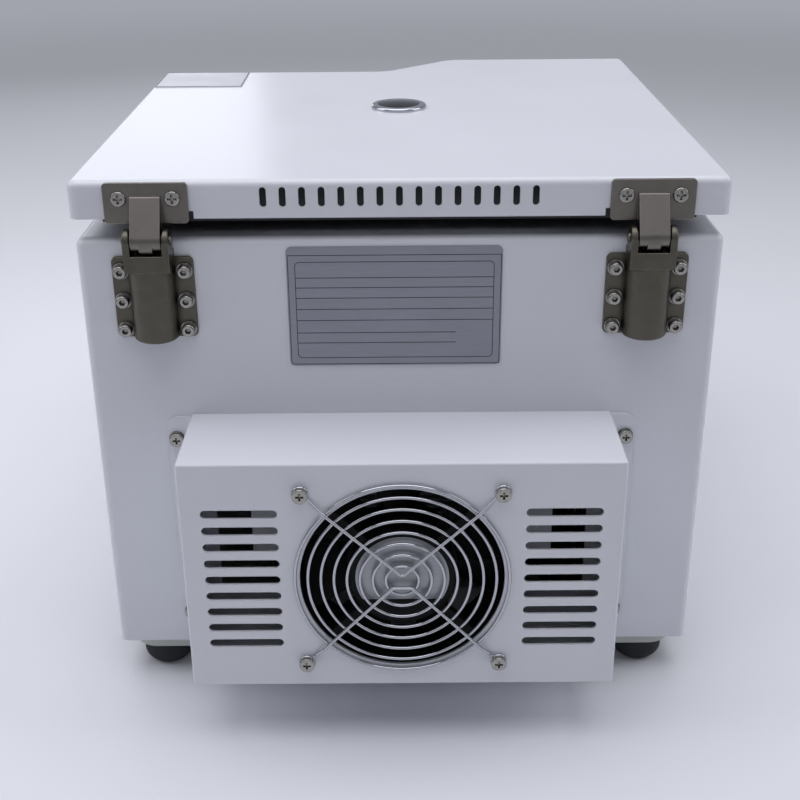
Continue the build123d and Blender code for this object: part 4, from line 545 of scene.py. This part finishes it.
# ------------------------------------------------------------------ modelling helpers
def deselect():
    """Leaves edit mode and selects nothing."""
    if bpy.context.object and bpy.context.object.mode != "OBJECT":
        bpy.ops.object.mode_set(mode="OBJECT")
    bpy.ops.object.select_all(action="DESELECT")


def edit():
    """Enters edit mode on the active piece."""
    bpy.ops.object.mode_set(mode="EDIT")


def leave():
    """Leaves edit mode and gives the piece that was edited."""
    bpy.ops.object.mode_set(mode="OBJECT")
    return bpy.context.object


def rectangle(width, height, middle=(0.0, 0.0)):
    """A flat rectangle in edit mode."""
    deselect()
    bpy.ops.mesh.primitive_plane_add(size=1.0, location=(middle[0], middle[1], 0.0))
    bpy.context.object.scale = (width, height, 1.0)
    bpy.ops.object.transform_apply(location=True, rotation=False, scale=True)
    edit()


def disc(radius, sides, turn=0.0):
    """A flat regular polygon in edit mode."""
    deselect()
    bpy.ops.mesh.primitive_circle_add(vertices=sides, radius=radius, fill_type="NGON",
                                      rotation=(0.0, 0.0, turn))
    bpy.ops.object.transform_apply(location=True, rotation=True, scale=True)
    edit()


def outline(width):
    """Leaves only a line of this width round the face in edit mode."""
    bpy.ops.mesh.select_all(action="SELECT")
    bpy.ops.mesh.inset(thickness=width)
    bpy.ops.mesh.delete(type="FACE")
    return leave()


def thicken(piece, depth):
    """Gives a flat print its film, standing up from the surface."""
    wall = piece.modifiers.new("film", "SOLIDIFY")
    wall.thickness = depth
    wall.offset = 1.0
    bpy.ops.object.modifier_apply(modifier=wall.name)


def merge(pieces):
    """Joins several prints into one."""
    deselect()
    for piece in pieces:
        piece.select_set(True)
    bpy.context.view_layer.objects.active = pieces[0]
    if len(pieces) > 1:
        bpy.ops.object.join()
    return bpy.context.object


def copied(piece, matrix):
    """A copy of a print with its own mesh, moved by a matrix."""
    twin = piece.copy()
    twin.data = piece.data.copy()
    bpy.context.collection.objects.link(twin)
    twin.data.transform(matrix)
    return twin


def settle(piece, name, body, material, place):
    """Names a finished piece, puts its place in its mesh and says what it rides on."""
    deselect()
    piece.select_set(True)
    bpy.context.view_layer.objects.active = piece
    piece.name = name
    piece.data.name = name
    piece.matrix_world = place
    bpy.ops.object.transform_apply(location=True, rotation=True, scale=True)
    piece.data.materials.clear()
    piece.data.materials.append(material)
    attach(piece, body)


def print_on(pieces, name, body, material, place):
    """Joins prints, gives them their film and settles them on a surface."""
    piece = merge(pieces)
    thicken(piece, bpy.context.scene.mark_settings.film)
    settle(piece, name, body, material, place)


def facing_rear(x, y, z):
    """A place on a face that looks to the rear, with X to the viewer's right and Y up."""
    turn = Matrix(((-1, 0, 0, 0), (0, 0, 1, 0), (0, 1, 0, 0), (0, 0, 0, 1)))
    return Matrix.Translation((x, y, z)) @ turn


def on_slope(x, down, lift=0.0):
    """A place on the control face, measured down the slope from the display's middle."""
    low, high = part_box("display_window")
    middle = (low + high) / 2
    normal = Vector((0, -math.sin(SLOPE), math.cos(SLOPE)))
    up = Vector((0, math.cos(SLOPE), math.sin(SLOPE)))
    spot = middle + normal * (PANE / 2 + lift) - up * down
    return Matrix.Translation((x, spot.y, spot.z)) @ Matrix.Rotation(SLOPE, 4, "X")


def centre(name):
    """The middle of a node's box."""
    low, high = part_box(name)
    return (low + high) / 2


# ------------------------------------------------------------------ operators
class CENTRIFUGE_OT_stage(bpy.types.Operator):
    """Lay the pale table top and set the lamps, the backdrop and the camera"""
    bl_idname = "centrifuge.stage"
    bl_label = "Stage"

    # for each lamp: the settings of its power and colour, where it stands, what it faces, and its
    # width and height, all in metres
    lamps = {
        "overhead_softbox": ("overhead_power", "lamp_colour",
                             (0.1, 0.1, 1.9), (0.0, 0.1, 0.1), (2.3, 2.0)),
        "left_softbox": ("left_power", "lamp_colour",
                         (1.6, 0.1, 1.2), (0.0, 0.0, 0.1), (1.2, 1.2)),
        "right_softbox": ("right_power", "lamp_colour",
                          (-1.6, 0.1, 1.2), (0.0, 0.0, 0.1), (1.2, 1.2)),
        "front_strip": ("front_power", "lamp_colour",
                        (0.0, 2.0, 1.6), (0.0, 0.0, 0.3), (1.8, 0.6)),
        "window": ("window_power", "window_colour",
                   (0.62, -1.75, 0.7), (0.1, 0.0, 0.31), (0.7, 0.5)),
    }
    sensor_width = 36.0   # millimetres
    nearest = 0.01        # metres; the camera sees nothing closer

    def execute(self, context):
        settings = context.scene.studio_settings
        self.table(context, settings)
        self.backdrop(context, settings)
        for name, (watts, light, *setup) in self.lamps.items():
            self.lamp(name, getattr(settings, watts), getattr(settings, light), *setup)
        self.camera(context, settings)
        return {"FINISHED"}

    def table(self, context, settings):
        """The square table top that the machine stands on."""
        deselect()
        bpy.ops.mesh.primitive_plane_add(size=settings.floor_size)
        floor = context.object
        floor.name = "table_top"
        floor.data.materials.append(table_top("lacquered table top", settings.floor_colour,
                                              settings.backdrop_colour,
                                              (settings.fade_start, settings.fade_end)))

    def backdrop(self, context, settings):
        """Even light all round, and a plain backdrop where it is looked at."""
        world = bpy.data.worlds.new("studio")
        world.use_nodes = True
        world.node_tree.nodes.clear()
        light = node(world, "ShaderNodeBackground", {"Color": rgba(settings.sky_colour),
                                                     "Strength": settings.sky_strength})
        plain = node(world, "ShaderNodeBackground", {"Color": rgba(settings.backdrop_colour),
                                                     "Strength": 1.0})
        both = node(world, "ShaderNodeMixShader",
                    {0: looked_at(world), 1: light.outputs[0], 2: plain.outputs[0]})
        node(world, "ShaderNodeOutputWorld", {"Surface": both.outputs[0]})
        context.scene.world = world
        context.scene.view_settings.view_transform = "Standard"

    def lamp(self, name, watts, light, place, target, size):
        """A rectangular softbox that faces its target."""
        deselect()
        bpy.ops.object.light_add(type="AREA", location=place)
        lamp = bpy.context.object
        lamp.name = name
        lamp.rotation_euler = (Vector(target) - Vector(place)).to_track_quat("-Z", "Y").to_euler()
        lamp.data.shape = "RECTANGLE"
        lamp.data.size, lamp.data.size_y = size
        lamp.data.energy = watts
        lamp.data.color = light
        lamp.visible_camera = False

    def camera(self, context, settings):
        """The camera, a little above the machine and behind it."""
        deselect()
        bpy.ops.object.camera_add(location=settings.place)
        camera = context.object
        camera.name = "camera"
        camera.matrix_world = (Matrix.Translation(settings.place)
                               @ Matrix.Rotation(settings.heading, 4, "Z")
                               @ Matrix.Rotation(math.pi / 2 + settings.pitch, 4, "X")
                               @ Matrix.Rotation(settings.roll, 4, "Z"))
        camera.data.lens = settings.lens
        camera.data.sensor_width = self.sensor_width
        camera.data.clip_start = self.nearest
        context.scene.camera = camera


class CENTRIFUGE_OT_finishes(bpy.types.Operator):
    """Give every carried-over part the finish its record slot names"""
    bl_idname = "centrifuge.finishes"
    bl_label = "Finishes"

    def execute(self, context):
        colours = context.scene.finish_settings
        axis = centre("motor_shaft")
        finishes = {
            "powder_coat": powder_coat("white polyester powder coat", colours.coat),
            "pan_coat": powder_coat("grey powder coat", colours.pan, 0.34),
            "cream_abs": moulded_abs("off-white moulded ABS", colours.moulding),
            "liner_abs": moulded_abs("dark moulded ABS", colours.liner),
            "soft_rubber": moulded_rubber("black moulded rubber", colours.rubber),
            "zinc_steel": plated_steel("bright zinc-plated steel", colours.zinc),
            "grey_plate": metallised_foil("anodised grey plate", colours.plate),
            "silver_label": metallised_foil("metallised polyester label", colours.foil),
            "dark_pane": smoked_acrylic("smoked acrylic", colours.pane),
            "grey_key": silicone_key("grey silicone key", colours.key_grey),
            "green_key": silicone_key("green silicone key", colours.key_green),
            "black_plastic": black_pbt("black glass-filled plastic", colours.black),
            "circuit_board": solder_mask("green solder mask", colours.mask),
            "stainless": spun_stainless("spun stainless steel", colours.stainless, axis),
            "black_steel": enamel("black enamel", colours.ring_paint),
            "motor_paint": enamel("dark grey motor enamel", colours.motor_paint),
            "anodised": bead_blasted("bead-blasted anodised aluminium", colours.anodised),
            "satin_nickel": cast_nickel("satin nickel casting", colours.nickel),
            "dark_steel": plated_steel("dark nickel-plated steel", colours.steel, 0.28, 0.42),
            "galvanised": galvanised_sheet("galvanised sheet", colours.galvanised),
            "bright_chrome": bright_chrome("bright chrome", colours.chrome),
        }
        # nodes that don't take the finish of their slot
        screws = screw_steel("nickel-plated screws", colours.screw)
        # a darker copy of the black plastic: painted shade inside the fan box
        fan = black_pbt("black fan plastic", colours.fan_black, 0.6, 0.2)
        special = {
            "leaf_screws": screws, "bracket_screws": screws,
            "box_screws": screws, "guard_screws": screws,
            "fan_frame": fan, "fan_impeller": fan,
            # a darker copy of the label foil: partly for unprinted text, partly painted shade under
            # the guard
            "fan_label": metallised_foil("dull metallised label", colours.label),
            # a lighter copy of the housings' nickel: painted light on the arms
            "hinge_leaves": cast_nickel("satin nickel leaf", colours.leaf),
            "port_lens": smoked_acrylic("coated smoked lens", colours.pane, 0.2),
        }
        for part in frame["record"]["subparts"]:
            finish = special.get(part["node"], finishes[part["material_slot"]])
            for slot in frame["nodes"][part["node"]].material_slots:
                slot.material = finish
        return {"FINISHED"}


class CENTRIFUGE_OT_rating_print(bpy.types.Operator):
    """Print the empty table on the rating plate and the border of the lid's plate"""
    bl_idname = "centrifuge.rating_print"
    bl_label = "Plate print"

    rim = 0.6 * MM  # bare edge round each print
    # table lines, as heights above the plate's lower edge, in millimetres
    full_lines = (49.9, 44.4, 38.6, 32.3, 26.0)
    short_lines = (18.9, 13.1)

    def execute(self, context):
        marks = context.scene.mark_settings
        ink = printed_ink("black label ink", context.scene.finish_settings.ink)
        low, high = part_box("rating_plate")
        width, height = high.x - low.x, high.z - low.z
        outer = (width - 2 * self.rim, height - marks.plate_strip - self.rim)
        rise = (self.rim - marks.plate_strip) / 2
        rectangle(*outer, (0.0, rise))
        prints = [outline(marks.line)]
        inner = [side - 2 * marks.inner_inset for side in outer]
        rectangle(*inner, (0.0, rise))
        bpy.ops.mesh.select_all(action="SELECT")
        bpy.ops.mesh.bevel(offset=marks.inner_corner, segments=5, affect="VERTICES")
        prints.append(outline(marks.line))
        for levels, gap in ((self.full_lines, 0.0), (self.short_lines, marks.code_space)):
            for level in levels:
                rectangle(inner[0] - gap, marks.line, (-gap / 2, level * MM - height / 2))
                prints.append(leave())
        print_on(prints, "rating_plate_print", "base", ink,
                 facing_rear((low.x + high.x) / 2, high.y, (low.z + high.z) / 2))

        low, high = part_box("lid_plate")
        rectangle(high.x - low.x - self.rim, high.y - low.y - self.rim)
        print_on([outline(marks.border)], "lid_plate_print", "lid", ink,
                 Matrix.Translation(((low.x + high.x) / 2, (low.y + high.y) / 2, high.z)))
        return {"FINISHED"}


class CENTRIFUGE_OT_knob_scale(bpy.types.Operator):
    """Print the marks round the speed knob"""
    bl_idname = "centrifuge.knob_scale"
    bl_label = "Knob scale"

    count = 11                  # marks
    sweep = math.radians(270)   # from the first to the last

    def execute(self, context):
        marks = context.scene.mark_settings
        rectangle(marks.border, marks.tick, (0.0, marks.tick_ring))
        first = leave()
        ticks = []
        for k in range(self.count):
            turn = self.sweep * (0.5 - k / (self.count - 1))
            ticks.append(copied(first, Matrix.Rotation(turn, 4, "Z")))
        bpy.data.objects.remove(first)
        ink = printed_ink("grey fascia ink", shade(context.scene.finish_settings.key_grey, 0.6))
        print_on(ticks, "knob_scale", "base", ink,
                 on_slope(centre("control_knob").x, CONTROLS_DOWN))
        return {"FINISHED"}


class CENTRIFUGE_OT_key_symbols(bpy.types.Operator):
    """Print a plain symbol on each key: go, stop and lid open"""
    bl_idname = "centrifuge.key_symbols"
    bl_label = "Key symbols"

    lift = 1.4 * MM           # key top above the control face
    # shares of the symbol's size
    go_radius = 0.55          # corner of the triangle from its middle
    stop_side = 0.8
    lid_radius = 0.5
    lid_rise = 0.08           # the lid symbol's triangle above the middle
    bar = (0.86, 0.17)        # width and height of the bar under it
    bar_drop = 0.38

    def execute(self, context):
        size = context.scene.mark_settings.symbol
        ink = printed_ink("white key ink", context.scene.finish_settings.white_ink)
        disc(size * self.go_radius, 3, math.radians(-90))
        self.on_key([leave()], "start_symbol", "start_key", "green_key", ink)
        rectangle(size * self.stop_side, size * self.stop_side)
        self.on_key([leave()], "stop_symbol", "stop_key", "grey_key", ink)
        disc(size * self.lid_radius, 3)
        bpy.ops.transform.translate(value=(0.0, size * self.lid_rise, 0.0))
        wedge = leave()
        rectangle(size * self.bar[0], size * self.bar[1], (0.0, -size * self.bar_drop))
        self.on_key([wedge, leave()], "lid_symbol", "lid_key", "grey_key", ink)
        return {"FINISHED"}

    def on_key(self, pieces, name, key, slot, ink):
        """Settles a symbol on the middle of its key, which is also its body."""
        print_on(pieces, name, key, ink, on_slope(centre(key).x, CONTROLS_DOWN, self.lift))


class CENTRIFUGE_OT_display(bpy.types.Operator):
    """Lay the unlit segments and their printed frames on the display pane"""
    bl_idname = "centrifuge.display"
    bl_label = "Display"

    windows = (-22.5 * MM, 22.5 * MM)  # middle of each frame from the pane's middle
    window = (41.0 * MM, 25.0 * MM)    # width and height of a frame
    digits = 4                         # in each frame
    pitch = 9.6 * MM                   # from digit to digit
    digit_width = 0.5                  # share of the digit's height
    slant = math.radians(7)
    reach = 0.25                       # half a segment's length, as a share of the digit's height
    slim = (0.92, 0.22)                # the hexagon of a segment squeezed along and across

    def execute(self, context):
        marks = context.scene.mark_settings
        colours = context.scene.finish_settings
        place = on_slope(centre("display_window").x, 0.0)
        rectangle(*self.window)
        line = outline(marks.line)
        frames = [copied(line, Matrix.Translation((shift, 0.0, 0.0))) for shift in self.windows]
        bpy.data.objects.remove(line)
        print_on(frames, "display_frames", "base",
                 printed_ink("white pane ink", colours.white_ink), place)

        disc(marks.digit * self.reach, 6)
        bpy.ops.mesh.select_all(action="SELECT")
        bpy.ops.transform.resize(value=(*self.slim, 1.0))
        bar = leave()
        middles = [shift + (k - (self.digits - 1) / 2) * self.pitch
                   for shift in self.windows for k in range(self.digits)]
        segments = [copied(bar, Matrix.Translation((middle, 0.0, 0.0)) @ spot)
                    for middle in middles for spot in self.segment_places(marks.digit)]
        bpy.data.objects.remove(bar)
        print_on(segments, "display_segments", "base",
                 printed_ink("unlit segment", colours.unlit), place)
        return {"FINISHED"}

    def segment_places(self, tall):
        """Places of the seven segments of a slanted digit, from the digit's middle."""
        lean = Matrix.Identity(4)
        lean[0][1] = math.tan(self.slant)
        upright = Matrix.Rotation(math.pi / 2, 4, "Z")
        wide = tall * self.digit_width
        half = tall / 4
        flat = [(0.0, 2 * half), (0.0, 0.0), (0.0, -2 * half)]
        steep = [(side * wide / 2, level * half) for side in (-1, 1) for level in (-1, 1)]
        return ([lean @ Matrix.Translation((*spot, 0.0)) for spot in flat]
                + [lean @ Matrix.Translation((*spot, 0.0)) @ upright for spot in steep])


OPERATORS = (
    CENTRIFUGE_OT_stage,
    CENTRIFUGE_OT_finishes,
    CENTRIFUGE_OT_rating_print,
    CENTRIFUGE_OT_knob_scale,
    CENTRIFUGE_OT_key_symbols,
    CENTRIFUGE_OT_display,
)
SETTINGS = {
    StudioSettings: "studio_settings",
    FinishSettings: "finish_settings",
    MarkSettings: "mark_settings",
}


class CENTRIFUGE_PT_panel(bpy.types.Panel):
    """Lists the operators and their sizes and colours"""
    bl_idname = "CENTRIFUGE_PT_panel"
    bl_label = "Centrifuge"
    bl_space_type = "VIEW_3D"
    bl_region_type = "UI"
    bl_category = "Centrifuge"

    def draw(self, context):
        for operator in OPERATORS:
            self.layout.operator(operator.bl_idname)
        for group in SETTINGS:
            box = self.layout.box()
            values = getattr(context.scene, SETTINGS[group])
            for name in group.__annotations__:
                box.prop(values, name)


CLASSES = (*SETTINGS, *OPERATORS, CENTRIFUGE_PT_panel)


def register():
    for cls in CLASSES:
        bpy.utils.register_class(cls)
    for group, name in SETTINGS.items():
        setattr(bpy.types.Scene, name, bpy.props.PointerProperty(type=group))


def unregister():
    for name in SETTINGS.values():
        delattr(bpy.types.Scene, name)
    for cls in reversed(CLASSES):
        bpy.utils.unregister_class(cls)


def main():
    """Registers the add-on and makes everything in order."""
    register()
    bpy.ops.centrifuge.stage()
    bpy.ops.centrifuge.finishes()
    bpy.ops.centrifuge.rating_print()
    bpy.ops.centrifuge.knob_scale()
    bpy.ops.centrifuge.key_symbols()
    bpy.ops.centrifuge.display()
    deselect()


if __name__ == "__main__":
    main()
